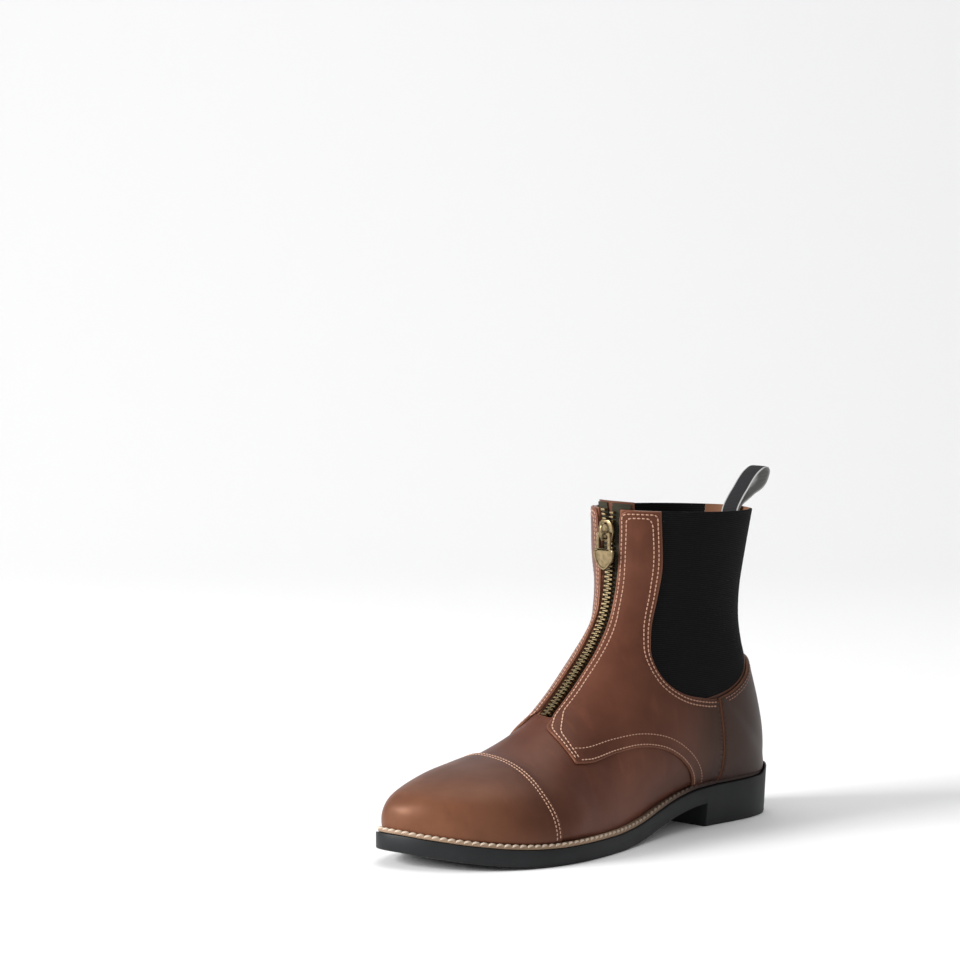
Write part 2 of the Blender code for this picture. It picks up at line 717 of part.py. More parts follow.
def cut(thing, cutter, operation):
    """Boolean with a cutter, applied at once, after which the cutter is removed."""
    step = thing.modifiers.new(operation.lower(), "BOOLEAN")
    step.operation = operation
    step.solver = "EXACT"
    step.object = cutter
    depsgraph = bpy.context.evaluated_depsgraph_get()
    mesh = bpy.data.meshes.new_from_object(thing.evaluated_get(depsgraph))
    thing.modifiers.clear()
    old = thing.data
    thing.data = mesh
    mesh.name = thing.name
    bpy.data.meshes.remove(old)
    bpy.data.objects.remove(cutter)
    work = bmesh.new()
    work.from_mesh(mesh)
    bmesh.ops.remove_doubles(work, verts=work.verts, dist=2e-6)
    bmesh.ops.dissolve_degenerate(work, edges=work.edges, dist=2e-6)
    bmesh.ops.triangulate(work, faces=work.faces)
    work.to_mesh(mesh)
    work.free()
    return thing


def side_points(table):
    """Side view points (along, z) of a table of shares."""
    return [(along * SOLE_LENGTH, up * COLLAR_BACK_HEIGHT) for along, up in table]


def side_line(table, per_span=2):
    return smooth_line(side_points(table), per_span=per_span)


def front_band(share_from, outwards, inwards, above=0.02):
    """Side view outline of a band along the front profile, from a share of it to above the collar."""
    line = at_share(front_line(), np.linspace(share_from, 1.0, 16))
    top = line[-1] + (line[-1] - line[-2]) / np.linalg.norm(line[-1] - line[-2]) * above
    line = np.vstack([line, top])
    return np.vstack([offset_line(line, outwards, False), offset_line(line, -inwards, False)[::-1]])


def plate(name, line, low, high, colour, heel=None):
    """Plate inside a closed outline between two heights that follow the boot; heel adds a block to the floor."""
    first, last = line[:, 1].min(), line[:, 1].max()
    inside = PLATE_STATIONS[(PLATE_STATIONS > first + 2e-4) & (PLATE_STATIONS < last - 2e-4)]
    stations = np.concatenate([[first], inside, [last]])
    if heel:
        stations = np.sort(np.append(stations[np.abs(stations - heel[0]) > 1e-3], heel[0]))
    outer, inner = half_widths(line, stations)
    outer[0] = inner[0] = (outer[0] + inner[0]) / 2
    outer[-1] = inner[-1] = (outer[-1] + inner[-1]) / 2
    verts, faces = [], []
    for along, right, left in zip(stations, outer, inner):
        for level in (low(along), high(along)):
            verts += [(left, HALF - along, level), (right, HALF - along, level)]
    count = len(stations)
    block = int(np.searchsorted(stations, heel[0])) if heel else 0
    for k in range(count - 1):
        a, b = 4 * k, 4 * (k + 1)
        faces.append((a + 2, a + 3, b + 3, b + 2))
        if k >= block:
            faces.append((a, b, b + 1, a + 1))
        faces.append((a, a + 2, b + 2, b))
        faces.append((a + 1, b + 1, b + 3, a + 3))
    if heel:
        base = len(verts)
        middle = (stations[block] + stations[0]) / 2
        for along, right, left in zip(stations[: block + 1], outer, inner):
            inset = 1 - heel[1] / (HEEL_WIDTH / 2)
            back = middle + (along - middle) * (1 - heel[1] / middle) if along < middle else along
            verts += [(left * inset, HALF - back, 0.0), (right * inset, HALF - back, 0.0)]
        for k in range(block):
            a, b, c, d = 4 * k, 4 * (k + 1), base + 2 * k, base + 2 * (k + 1)
            faces += [(c, c + 1, d + 1, d), (c, d, b, a), (c + 1, a + 1, b + 1, d + 1)]
        a, c = 4 * block, base + 2 * block
        faces.append((a, a + 1, c + 1, c))
    return add_object(name, verts, faces, colour)


def heel_lip():
    """Raised lip round the heel's back, which fades into the sole's top on both sides."""
    edges = []
    for inset in (LIP_INSET, LIP_INSET + LIP_THICKNESS):
        line = reach_line(HEEL_RIM_REACH - inset, WELT_REACH - inset)
        back = np.argmin(line[:, 1])
        line = np.roll(line, len(line) // 2 - back, axis=0)
        line = line[line[:, 1] < LIP_LENGTH]
        edges.append(at_share(line, np.linspace(0, 1, LIP_POINTS)))
    verts = []
    for outer, inner in zip(*edges):
        fade = 1 - ease((outer[1] - LIP_FADE_FROM) / (LIP_LENGTH - LIP_FADE_FROM))
        top = HEEL_HEIGHT + LIP_HEIGHT * fade - LIP_ROOT / 2 * (1 - fade)
        for x, along in (outer, inner):
            for z in (HEEL_HEIGHT - LIP_ROOT, top - (LIP_THICKNESS / 3 if along == outer[1] else 0)):
                verts.append((x, HALF - along, z))
    faces = [(0, 1, 3, 2), tuple(4 * LIP_POINTS - k for k in (4, 2, 1, 3))]
    for k in range(LIP_POINTS - 1):
        a, b = 4 * k, 4 * (k + 1)
        faces += [(a, a + 1, b + 1, b), (a + 2, a + 3, b + 3, b + 2),
                  (a + 1, a + 3, b + 3, b + 1), (a, a + 2, b + 2, b)]
    return add_object("cutter", verts, faces, "rubber")


def build_sole():
    """Outsole with its heel, welt ring and insole, one above the other."""
    def top(along):
        return underside(along) + SOLE_THICKNESS

    sole = plate("outsole", reach_line(HEEL_RIM_REACH, WELT_REACH), underside, top, "rubber",
                 heel=(HEEL_LENGTH, HEEL_TAPER))
    cut(sole, heel_lip(), "UNION")
    ring = plate("welt", reach_line(HEEL_WELT_REACH, WELT_REACH - GAP),
                 lambda s: top(s) + GAP, lambda s: top(s) + WELT_TOP, "welt")
    hole = plate("cutter", reach_line(-WELT_UNDERLAP, -WELT_UNDERLAP),
                 lambda s: top(s) - WELT_THICKNESS, lambda s: top(s) + 3 * WELT_THICKNESS, "welt")
    cut(ring, hole, "DIFFERENCE")
    inset = -(WELT_UNDERLAP + GAP)
    plate("insole", reach_line(inset, inset), lambda s: top(s) + GAP,
          lambda s: top(s) + GAP + INSOLE_THICKNESS, "board")


def gore_outline(grow=0.0):
    """Closed side view outline of the gore's opening, larger by grow."""
    points = np.vstack([side_line(GORE_FRONT), side_line(GORE_BACK)[1:]])
    return offset_line(points, -grow, closed=True) if grow else points


def build_upper():
    """Lasted wall, cut open for the zip and for both gores."""
    wall = layer("upper", -WALL, 0.0, "leather")
    throat = cut(zip_cutter(1), side_cutter(front_band(ZIP_SHARE, 0.008, 0.008), -0.03, 0.03), "INTERSECT")
    cut(wall, throat, "DIFFERENCE")
    for sign in (1, -1):
        cut(wall, side_cutter(gore_outline(), *sorted((sign * 0.002, sign * 0.08))), "DIFFERENCE")


def build_overlays():
    """Toe cap, quarters and counter, each cut out of a layer that lies on the wall."""
    far = 0.08
    cap = layer("toe_cap", GAP, GAP + LEATHER, "leather", last=CAP_LAST_SECTION)
    line = side_line(CAP_LINE)
    corner = [(SOLE_LENGTH + 0.02, line[-1][1]), (SOLE_LENGTH + 0.02, line[0][1])]
    cut(cap, side_cutter(np.vstack([line, corner]), -far, far), "INTERSECT")
    back = side_line(GORE_FRONT[1:])
    outline = np.vstack([
        side_line(QUARTER_FRONT),
        side_line(QUARTER_ARCH)[1:],
        side_line(SEAM_LINE),
        offset_line(back[::-1], LEATHER / 2, False),
        [(back[0][0], 1.2 * COLLAR_FRONT_HEIGHT), (ZIP_END[0] * SOLE_LENGTH, 1.2 * COLLAR_FRONT_HEIGHT)],
    ])
    for name, sign in (("quarter_outer", 1), ("quarter_inner", -1)):
        sides = (AROUND, 2 * AROUND + 1) if sign > 0 else (0, AROUND + 1)
        quarter = layer(name, GAP, GAP + LEATHER, "leather", first=QUARTER_FIRST_SECTION, sides=sides)
        cut(quarter, side_cutter(outline, *sorted((sign * 0.002, sign * far))), "INTERSECT")
        cut(quarter, zip_cutter(1), "DIFFERENCE")
    counter = layer("counter", GAP, GAP + COUNTER_LEATHER, "leather", first=COUNTER_FIRST_SECTION)
    seam = side_line(SEAM_LINE)
    outline = np.vstack([seam - (GAP, 0), side_line(COUNTER_TOP)[1:], [(-0.02, 0.5 * COLLAR_BACK_HEIGHT)],
                         [(-0.02, 0.0), (seam[0][0] - GAP, 0.0)]])
    cut(counter, side_cutter(outline, -far, far), "INTERSECT")


def build_gores():
    """Elastic panels that fill the openings of the wall."""
    for name, sign in (("gore_outer", 1), ("gore_inner", -1)):
        sides = (AROUND, 2 * AROUND + 1) if sign > 0 else (0, AROUND + 1)
        panel = layer(name, -ELASTIC_RECESS - ELASTIC, -ELASTIC_RECESS, "elastic",
                      first=GORE_FIRST_SECTION, sides=sides)
        cut(panel, side_cutter(gore_outline(-GAP), *sorted((sign * 0.002, sign * 0.08))), "INTERSECT")


def build_zip():
    """Tape, teeth and the leather guard behind them, along the front opening."""
    tape_top = -WALL - GAP
    guard_top = tape_top - ZIP_TAPE - GAP
    band = front_band(ZIP_SHARE - 0.012, 0.010, 0.018)
    shorter = front_band(ZIP_SHARE + 0.004, 0.010, 0.018)
    part = {"first": ZIP_FIRST_SECTION, "sides": (AROUND - 4, AROUND + 5)}
    tape = layer("zip_tape", tape_top - ZIP_TAPE, tape_top, "tape", TAPE_RISE, **part)
    teeth = layer("zip_teeth", tape_top + GAP, tape_top + GAP + ZIP_TEETH, "brass", TEETH_RISE, **part)
    for strip, outline, column in ((tape, band, 4), (teeth, shorter, 2)):
        cut(strip, side_cutter(outline, -0.03, 0.03), "INTERSECT")
        cut(strip, zip_cutter(column), "INTERSECT")
        cut(strip, zip_cutter(3), "DIFFERENCE")
    guard = layer("zip_guard", guard_top - LEATHER, guard_top, "leather", GUARD_RISE, **part)
    cut(guard, side_cutter(band, -GUARD_WIDTH / 2, GUARD_WIDTH / 2), "INTERSECT")


def zip_frame(drop):
    """Frame on the front profile at a distance below the collar: across the boot, up the profile, outwards."""
    line = front_line()
    length = np.linalg.norm(np.diff(line, axis=0), axis=1).sum()
    low, high = at_share(line, [1 - (drop + 0.002) / length, 1 - (drop - 0.002) / length])
    up = (high - low) / np.linalg.norm(high - low)
    middle = (low + high) / 2
    return (0, HALF - middle[0], middle[1]), (1, 0, 0), (0, -up[0], up[1]), (0, -up[1], -up[0])


def build_slider():
    """Slider over the teeth with its bridge, and the pull that hangs plumb from the bridge."""
    place, across, up, out = (np.array(v, float) for v in zip_frame(SLIDER_DROP))
    low = -WALL + ZIP_TEETH + SLIDER_LIFT
    high = low + SLIDER_THICKNESS
    w, h = SLIDER_WIDTH / 2, SLIDER_LENGTH / 2
    outline = [(-0.45 * w, h), (0.45 * w, h), (0.8 * w, 0.75 * h), (w, 0.2 * h), (w, -0.1 * h),
               (0.72 * w, -h), (-0.72 * w, -h), (-w, -0.1 * h), (-w, 0.2 * h), (-0.8 * w, 0.75 * h)]
    slider = prism("zip_slider", outline, (place, across, up, out), low, high, "brass")
    root = low + SLIDER_THICKNESS / 2
    crest, bar, reach = high + BRIDGE_HEIGHT, BRIDGE_BAR, BRIDGE_LENGTH / 2
    arch = [(root, -reach), (crest - bar, -reach), (crest, bar - reach), (crest, reach - bar),
            (crest - bar, reach), (root, reach), (root, reach - bar), (crest - bar, reach - bar),
            (crest - bar, bar - reach), (root, bar - reach)]
    cut(slider, prism("cutter", arch, (place, out, up, across), -BRIDGE_WIDTH / 2, BRIDGE_WIDTH / 2, "brass"),
        "UNION")
    hinge = place + out * (high + (BRIDGE_HEIGHT - BRIDGE_BAR) / 2) - up * HINGE_DROP
    frame = ((0, 0, 0), (1, 0, 0), (0, 0, 1), (0, -1, 0))
    half = PULL_THICKNESS / 2
    side = [(x * SHIELD_WIDTH / 2, -LINK_LENGTH - y * SHIELD_LENGTH) for x, y in SHIELD]
    top = CROSS_BAR / 2
    side = [(LINK_WIDTH / 2 - top, top), (LINK_WIDTH / 2, 0), (LINK_WIDTH / 2, -LINK_LENGTH)] + side
    outline = side + [(-x, y) for x, y in reversed(side) if x > 0]
    pull = prism("zip_pull", outline, frame, -half, half, "brass")
    window = LINK_WIDTH / 2 - LINK_BAR
    hole = [(window, -top), (-window, -top), (-window, -LINK_LENGTH), (window, -LINK_LENGTH)]
    cut(pull, prism("cutter", hole, frame, -2 * half, 2 * half, "brass"), "DIFFERENCE")
    pull.location = hinge


def build_loop():
    """Woven tape folded to a loop, its ends side by side inside the collar's back."""
    back = back_line()
    level = np.linspace(COLLAR_BACK_HEIGHT - LOOP_DEPTH, COLLAR_BACK_HEIGHT - 2 * LOOP_TAPE, 6)
    order = np.argsort(back[-60:, 1])
    wall = np.stack([np.interp(level, back[-60:, 1][order], back[-60:, 0][order]), level], -1)
    near = WALL + LOOP_CLEARANCE
    edge = back[-1]
    face = np.array([(edge[0] - b * LOOP_HEIGHT, edge[1] + u * LOOP_HEIGHT) for b, u in LOOP_FACE])
    outline = np.vstack([
        offset_line(wall, near, False),
        smooth_line(face, per_span=2),
        offset_line(wall, near + 2 * LOOP_TAPE, False)[::-1],
    ])
    half = LOOP_TAPE_WIDTH / 2
    loop = prism("pull_loop", outline, SIDE_VIEW, -half, half, "webbing")
    hole = offset_line(smooth_line(face[2:-1], per_span=2), LOOP_TAPE, False)
    cut(loop, side_cutter(hole, -2 * half, 2 * half), "DIFFERENCE")


def centre_boot():
    """Move every piece so that the middle of the boot's box stands over the origin."""
    bpy.context.view_layer.update()
    corners = np.array([thing.matrix_world @ vertex.co for thing in bpy.data.objects
                        for vertex in thing.data.vertices])
    middle = (corners.min(axis=0) + corners.max(axis=0)) / 2
    for thing in bpy.data.objects:
        if thing.name == "zip_pull":
            thing.location.x -= middle[0]
            thing.location.y -= middle[1]
        else:
            for vertex in thing.data.vertices:
                vertex.co.x -= middle[0]
                vertex.co.y -= middle[1]
    print("boot moved by", -middle[0], -middle[1])


for old in list(bpy.data.objects):
    bpy.data.objects.remove(old)
GRID = last_surface()
NORMAL = surface_normals(GRID)
ZIP_SHARE = share_at(front_line(), side_points([ZIP_END])[0])
build_sole()
build_upper()
build_overlays()
build_gores()
build_zip()
build_slider()
build_loop()
centre_boot()
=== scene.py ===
"""Looks of the paddock boot: fine leather, elastic, zip, stitches and rubber over the CAD frame.

The boot's shape comes from the same tables as the CAD part, worked out on a finer grid. Everything is
built in the maker's own frame, in metres, and moved by SHIFT into the shared frame at the end.
"Along" is measured from the back of the sole towards the toe.
"""

import math

import bmesh
import bpy
import numpy as np
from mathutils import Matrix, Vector
from mathutils.bvhtree import BVHTree


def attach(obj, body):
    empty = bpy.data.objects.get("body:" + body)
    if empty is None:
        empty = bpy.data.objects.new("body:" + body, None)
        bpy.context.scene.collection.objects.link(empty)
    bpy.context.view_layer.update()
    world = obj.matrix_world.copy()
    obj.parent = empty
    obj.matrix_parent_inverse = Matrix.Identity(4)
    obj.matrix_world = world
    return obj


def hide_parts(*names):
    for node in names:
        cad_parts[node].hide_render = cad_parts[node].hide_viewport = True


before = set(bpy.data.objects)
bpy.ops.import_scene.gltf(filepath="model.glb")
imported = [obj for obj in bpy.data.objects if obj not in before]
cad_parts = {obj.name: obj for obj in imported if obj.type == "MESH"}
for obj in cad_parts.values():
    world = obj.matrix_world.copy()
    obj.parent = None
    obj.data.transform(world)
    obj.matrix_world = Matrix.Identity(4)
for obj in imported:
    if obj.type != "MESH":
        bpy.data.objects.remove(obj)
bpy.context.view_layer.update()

# Driving sizes of the sole
SOLE_LENGTH = 0.278
SOLE_THICKNESS = 0.0092
HEEL_HEIGHT = 0.0232
HEEL_LENGTH = 0.0700
HEEL_TAPER = 0.0012
TOE_SPRING = 0.0088
WELT_THICKNESS = 0.0021
WELT_REACH = 0.0050
HEEL_WELT_REACH = 0.0014
HEEL_RIM_REACH = 0.0036
WELT_UNDERLAP = 0.0032
LIP_HEIGHT = 0.0048
LIP_FADE_FROM = 0.0060
LIP_LENGTH = 0.0240

# Driving sizes of the last
BALL_WIDTH = 0.0865
HEEL_WIDTH = 0.0550
TOE_HEIGHT = 0.0234
INSTEP_HEIGHT = 0.0940
ANKLE_WIDTH = 0.0640
COLLAR_WIDTH = 0.0690
COLLAR_FRONT_HEIGHT = 0.1808
COLLAR_BACK_HEIGHT = 0.1745

# How far the upright wall of the heel reaches forwards and upwards
HEEL_WALL_DEPTH = 0.0400
HEEL_WALL_HEIGHT = 0.0700

# Leather, elastic and the gap that every two pieces keep
WALL = 0.0017
LEATHER = 0.0012
COUNTER_LEATHER = 0.0017
ELASTIC = 0.0014
ELASTIC_RECESS = 0.0002
GAP = 0.0003

# Zip
ZIP_OPENING = 0.0094
ZIP_TAPE = 0.0007
ZIP_TEETH = 0.0020
TAPE_RISE = 0.0030
GUARD_WIDTH = 0.0300
GUARD_RISE = 0.0040
SLIDER_LENGTH = 0.0120
SLIDER_WIDTH = 0.0108
SLIDER_THICKNESS = 0.0016
SLIDER_LIFT = 0.0005
SLIDER_DROP = 0.0118
BRIDGE_LENGTH = 0.0096
BRIDGE_HEIGHT = 0.0040
BRIDGE_WIDTH = 0.0022
BRIDGE_BAR = 0.0011
HINGE_DROP = 0.0016
LINK_WIDTH = 0.0104
LINK_LENGTH = 0.0082
LINK_BAR = 0.0020
CROSS_BAR = 0.0016
SHIELD_WIDTH = 0.0148
SHIELD_LENGTH = 0.0120
PULL_THICKNESS = 0.0014

# Pull loop at the back of the collar
LOOP_TAPE_WIDTH = 0.0120
LOOP_TAPE = 0.0011
LOOP_HEIGHT = 0.0220
LOOP_DEPTH = 0.0150
LOOP_CLEARANCE = 0.0025

HALF = SOLE_LENGTH / 2
UPPER_LENGTH = SOLE_LENGTH - WELT_REACH - HEEL_RIM_REACH
ARCH_RISE = HEEL_HEIGHT - SOLE_THICKNESS
WELT_TOP = GAP + WELT_THICKNESS
FEATHER_LIFT = WELT_TOP + GAP
BALL_LEVEL = SOLE_THICKNESS + FEATHER_LIFT
INSTEP_LEVEL = BALL_LEVEL + INSTEP_HEIGHT
HEEL_FEATHER = HEEL_HEIGHT + FEATHER_LIFT
SHAFT_RISE = COLLAR_FRONT_HEIGHT - INSTEP_LEVEL
TAPE_TOP = -WALL - GAP
SLIDER_LOW = -WALL + ZIP_TEETH + SLIDER_LIFT
SLIDER_HIGH = SLIDER_LOW + SLIDER_THICKNESS

# Feather line seen from above, where the upper meets the welt, from the heel to the toe.
# along: share of the upper's length; outer and inner: shares of the width named last.
OUTLINE = (
    (0.006, 0.145, 0.145, HEEL_WIDTH),
    (0.018, 0.275, 0.275, HEEL_WIDTH),
    (0.043, 0.390, 0.390, HEEL_WIDTH),
    (0.085, 0.470, 0.470, HEEL_WIDTH),
    (0.137, 0.500, 0.497, HEEL_WIDTH),
    (0.205, 0.496, 0.478, HEEL_WIDTH),
    (0.280, 0.487, 0.445, HEEL_WIDTH),
    (0.355, 0.331, 0.269, BALL_WIDTH),
    (0.430, 0.373, 0.268, BALL_WIDTH),
    (0.506, 0.428, 0.291, BALL_WIDTH),
    (0.581, 0.488, 0.340, BALL_WIDTH),
    (0.649, 0.529, 0.396, BALL_WIDTH),
    (0.712, 0.547, 0.438, BALL_WIDTH),
    (0.769, 0.532, 0.456, BALL_WIDTH),
    (0.836, 0.475, 0.438, BALL_WIDTH),
    (0.893, 0.372, 0.396, BALL_WIDTH),
    (0.938, 0.247, 0.350, BALL_WIDTH),
    (0.968, 0.115, 0.305, BALL_WIDTH),
    (0.987, 0.000, 0.262, BALL_WIDTH),
    (0.997, -0.098, 0.220, BALL_WIDTH),
)
TOE_TIP_PLACE = -0.1700

# Underside of the sole seen from the side.
# along: share of the sole's length; lift: share of the rise named last.
UNDERSIDE = (
    (0.000, 1.00, ARCH_RISE),
    (0.100, 0.99, ARCH_RISE),
    (0.200, 0.98, ARCH_RISE),
    (0.270, 0.91, ARCH_RISE),
    (0.340, 0.73, ARCH_RISE),
    (0.410, 0.45, ARCH_RISE),
    (0.470, 0.19, ARCH_RISE),
    (0.525, 0.05, ARCH_RISE),
    (0.580, 0.00, ARCH_RISE),
    (0.740, 0.00, TOE_SPRING),
    (0.800, 0.06, TOE_SPRING),
    (0.860, 0.22, TOE_SPRING),
    (0.920, 0.49, TOE_SPRING),
    (0.970, 0.80, TOE_SPRING),
    (1.000, 1.00, TOE_SPRING),
)

# Front profile of the upper on its ridge, from the toe to the collar.
# along: share of the sole's length; the height starts at base and adds share times rise.
FEATHER = None
FRONT = (
    (0.9822, FEATHER, 0.22, TOE_HEIGHT),
    (0.9775, FEATHER, 0.50, TOE_HEIGHT),
    (0.9590, FEATHER, 0.78, TOE_HEIGHT),
    (0.9230, FEATHER, 1.06, TOE_HEIGHT),
    (0.8600, BALL_LEVEL, 0.368, INSTEP_HEIGHT),
    (0.7950, BALL_LEVEL, 0.405, INSTEP_HEIGHT),
    (0.7300, BALL_LEVEL, 0.446, INSTEP_HEIGHT),
    (0.6790, BALL_LEVEL, 0.511, INSTEP_HEIGHT),
    (0.6140, BALL_LEVEL, 0.630, INSTEP_HEIGHT),
    (0.5740, BALL_LEVEL, 0.727, INSTEP_HEIGHT),
    (0.5290, BALL_LEVEL, 0.853, INSTEP_HEIGHT),
    (0.4820, BALL_LEVEL, 1.000, INSTEP_HEIGHT),
    (0.4430, INSTEP_LEVEL, 0.238, SHAFT_RISE),
    (0.4290, INSTEP_LEVEL, 0.528, SHAFT_RISE),
    (0.4300, INSTEP_LEVEL, 0.811, SHAFT_RISE),
    (0.4340, INSTEP_LEVEL, 1.000, SHAFT_RISE),
)

# Back profile on the centre line, from the feather line to the collar.
# along: share of the sole's length; up: share of the height from the feather line to the collar.
BACK = (
    (0.0080, 0.075),
    (0.0150, 0.145),
    (0.0310, 0.240),
    (0.0550, 0.350),
    (0.0740, 0.450),
    (0.0845, 0.550),
    (0.0820, 0.670),
    (0.0620, 0.840),
    (0.0390, 1.000),
)

# Sections of the foot, from the toe to the heel.
# under: where the section meets the feather line, as a share of the upper's length;
# front: where it meets the front profile, as a share of that profile's own length.
FOOT_SECTIONS = (
    (1.0000, 0.0000),
    (0.9980, 0.0154),
    (0.9925, 0.0346),
    (0.9810, 0.0577),
    (0.9605, 0.0846),
    (0.9300, 0.1220),
    (0.8910, 0.1690),
    (0.8440, 0.2230),
    (0.7900, 0.2850),
    (0.7330, 0.3460),
    (0.6750, 0.4080),
    (0.6110, 0.4690),
    (0.5400, 0.5310),
    (0.4610, 0.5880),
    (0.3740, 0.6380),
    (0.2840, 0.6810),
    (0.1940, 0.7150),
    (0.1190, 0.7420),
    (0.0605, 0.7635),
    (0.0330, 0.7810),
    (0.0180, 0.7940),
)

# Sections of the shaft, from the heel to the collar.
# up: where the section meets the back profile, front: where it meets the front profile, both as shares
# of that profile's own length.
SHAFT_SECTIONS = (
    (0.000, 0.8060),
    (0.060, 0.8210),
    (0.130, 0.8385),
    (0.220, 0.8580),
    (0.330, 0.8790),
    (0.450, 0.9000),
    (0.580, 0.9230),
    (0.720, 0.9500),
    (0.860, 0.9750),
    (1.000, 1.0000),
)

# Shape of the sections, given at a few of them and blended between.
# section: its number from the toe; ridge: sideways place of its top, as a share of the ball width;
# follow: how far its girth follows the feather line, times swell; outer and inner: girth where it doesn't,
# as shares of the width named next; low: height of its widest place as a share of the section;
# top_outer and top_inner: powers of the curve above that place, where 2 is an ellipse; under: power below it.
SHAPES = (
    (0, -0.1700, 1.00, 1.02, 0.50, 0.50, ANKLE_WIDTH, 0.34, 2.3, 2.3, 2.2),
    (3, -0.1500, 1.00, 1.03, 0.50, 0.50, ANKLE_WIDTH, 0.33, 2.4, 2.3, 2.2),
    (6, -0.1150, 1.00, 1.04, 0.50, 0.50, ANKLE_WIDTH, 0.30, 2.3, 2.2, 2.2),
    (9, -0.0810, 1.00, 1.04, 0.58, 0.56, ANKLE_WIDTH, 0.26, 2.0, 2.0, 2.2),
    (11, -0.0640, 0.70, 1.03, 0.58, 0.56, ANKLE_WIDTH, 0.28, 1.9, 1.7, 2.2),
    (13, -0.0460, 0.25, 1.03, 0.56, 0.55, ANKLE_WIDTH, 0.34, 1.9, 1.7, 2.2),
    (15, -0.0290, 0.00, 1.00, 0.54, 0.52, ANKLE_WIDTH, 0.40, 1.9, 1.8, 2.3),
    (18, -0.0100, 0.00, 1.00, 0.52, 0.50, ANKLE_WIDTH, 0.45, 2.0, 1.9, 2.4),
    (21, 0.0000, 0.00, 1.00, 0.50, 0.50, ANKLE_WIDTH, 0.48, 2.0, 2.0, 2.5),
    (24, 0.0000, 0.00, 1.00, 0.50, 0.50, ANKLE_WIDTH, 0.50, 2.0, 2.0, 2.3),
    (26, 0.0000, 0.00, 1.00, 0.48, 0.48, COLLAR_WIDTH, 0.50, 2.0, 2.0, 2.1),
    (28, 0.0000, 0.00, 1.00, 0.49, 0.49, COLLAR_WIDTH, 0.50, 2.0, 2.0, 2.0),
    (30, 0.0000, 0.00, 1.00, 0.50, 0.50, COLLAR_WIDTH, 0.50, 2.0, 2.0, 2.0),
)

# Edges of the pieces seen from the side.
# along: share of the sole's length from its back; up: share of the height of the collar's back.
CAP_LINE = (
    (0.7450, -0.0500),
    (0.7460, 0.0600),
    (0.7500, 0.1370),
    (0.7560, 0.2120),
    (0.7500, 0.2770),
    (0.7450, 0.3400),
    (0.7430, 0.4200),
)
ZIP_END = (0.6140, 0.4020)
QUARTER_FRONT = ((0.6140, 0.4020), (0.6340, 0.3740), (0.6410, 0.3300), (0.6420, 0.2780))
QUARTER_ARCH = (
    (0.6420, 0.2780),
    (0.6000, 0.2760),
    (0.5300, 0.2930),
    (0.4570, 0.2990),
    (0.3900, 0.2750),
    (0.3300, 0.2150),
    (0.2950, 0.1500),
    (0.2800, 0.0900),
)
SEAM_LINE = ((0.2150, 0.0900), (0.2160, 0.1550), (0.2230, 0.2790), (0.2340, 0.4150))
COUNTER_TOP = (
    (0.2340, 0.4150),
    (0.1900, 0.4310),
    (0.1400, 0.4700),
    (0.1100, 0.5100),
    (0.0850, 0.5300),
    (0.0400, 0.5350),
)
GORE_FRONT = (
    (0.3720, 1.1200),
    (0.3720, 1.0160),
    (0.3700, 0.7800),
    (0.3860, 0.6400),
    (0.3910, 0.5610),
    (0.3740, 0.4960),
    (0.3270, 0.4450),
    (0.2640, 0.4200),
)
GORE_BACK = (
    (0.2640, 0.4200),
    (0.1900, 0.4400),
    (0.1320, 0.4930),
    (0.1120, 0.5600),
    (0.1040, 0.6500),
    (0.0940, 0.8000),
    (0.0660, 1.0200),
    (0.0640, 1.1200),
)

# Half widths across the zip, whose halves part above the slider.
# up: share of the height of the collar's front; edge: the leather's edges; chain: outer edges of the teeth;
# notch: their inner edges; tape: outer edges of the tape, all as shares of ZIP_OPENING.
ZIP_SPREAD = (
    (0.150, 0.50, 0.30, 0.00, 1.12),
    (0.690, 0.50, 0.30, 0.00, 1.12),
    (0.930, 0.82, 0.30, 0.00, 1.25),
    (1.100, 0.92, 0.81, 0.51, 1.60),
)

# Outer face of the pull loop seen from the side.
# back: backwards from the collar's back edge; up: above it, both as shares of LOOP_HEIGHT.
LOOP_FACE = (
    (-0.196, 0.011),
    (-0.064, 0.073),
    (0.118, 0.164),
    (0.393, 0.305),
    (0.741, 0.464),
    (0.923, 0.705),
    (0.973, 0.882),
    (0.900, 0.982),
    (0.795, 1.000),
    (0.614, 0.936),
    (0.393, 0.791),
    (0.077, 0.459),
    (-0.140, 0.227),
    (-0.296, 0.000),
)

# Half of the shield's outline. across: share of half SHIELD_WIDTH; down: share of SHIELD_LENGTH.
SHIELD = (
    (0.62, 0.000),
    (0.95, 0.060),
    (1.00, 0.200),
    (0.90, 0.480),
    (0.55, 0.800),
    (0.22, 0.960),
    (0.00, 1.000),
)

# Columns of ZIP_SPREAD
LEATHER_EDGE, CHAIN_EDGE, NOTCH_EDGE, TAPE_EDGE = 1, 2, 3, 4

# Rings of the shield's plate. scale: of its outline; level: share of half PULL_THICKNESS.
SHIELD_RINGS = (
    (0.94, -1.0),
    (1.0, -0.6),
    (1.0, 0.5),
    (0.95, 1.0),
    (0.84, 1.0),
    (0.78, 0.35),
    (0.45, 0.5),
    (0.2, 0.62),
)

# Corners of a rounded bar's section, as shares of its half width and half height
BAR_CORNERS = np.array([
    (1, 0.4),
    (0.75, 0.85),
    (0, 1),
    (-0.75, 0.85),
    (-1, 0.4),
    (-1, -0.4),
    (-0.75, -0.85),
    (0, -1),
    (0.75, -0.85),
    (1, -0.4),
])

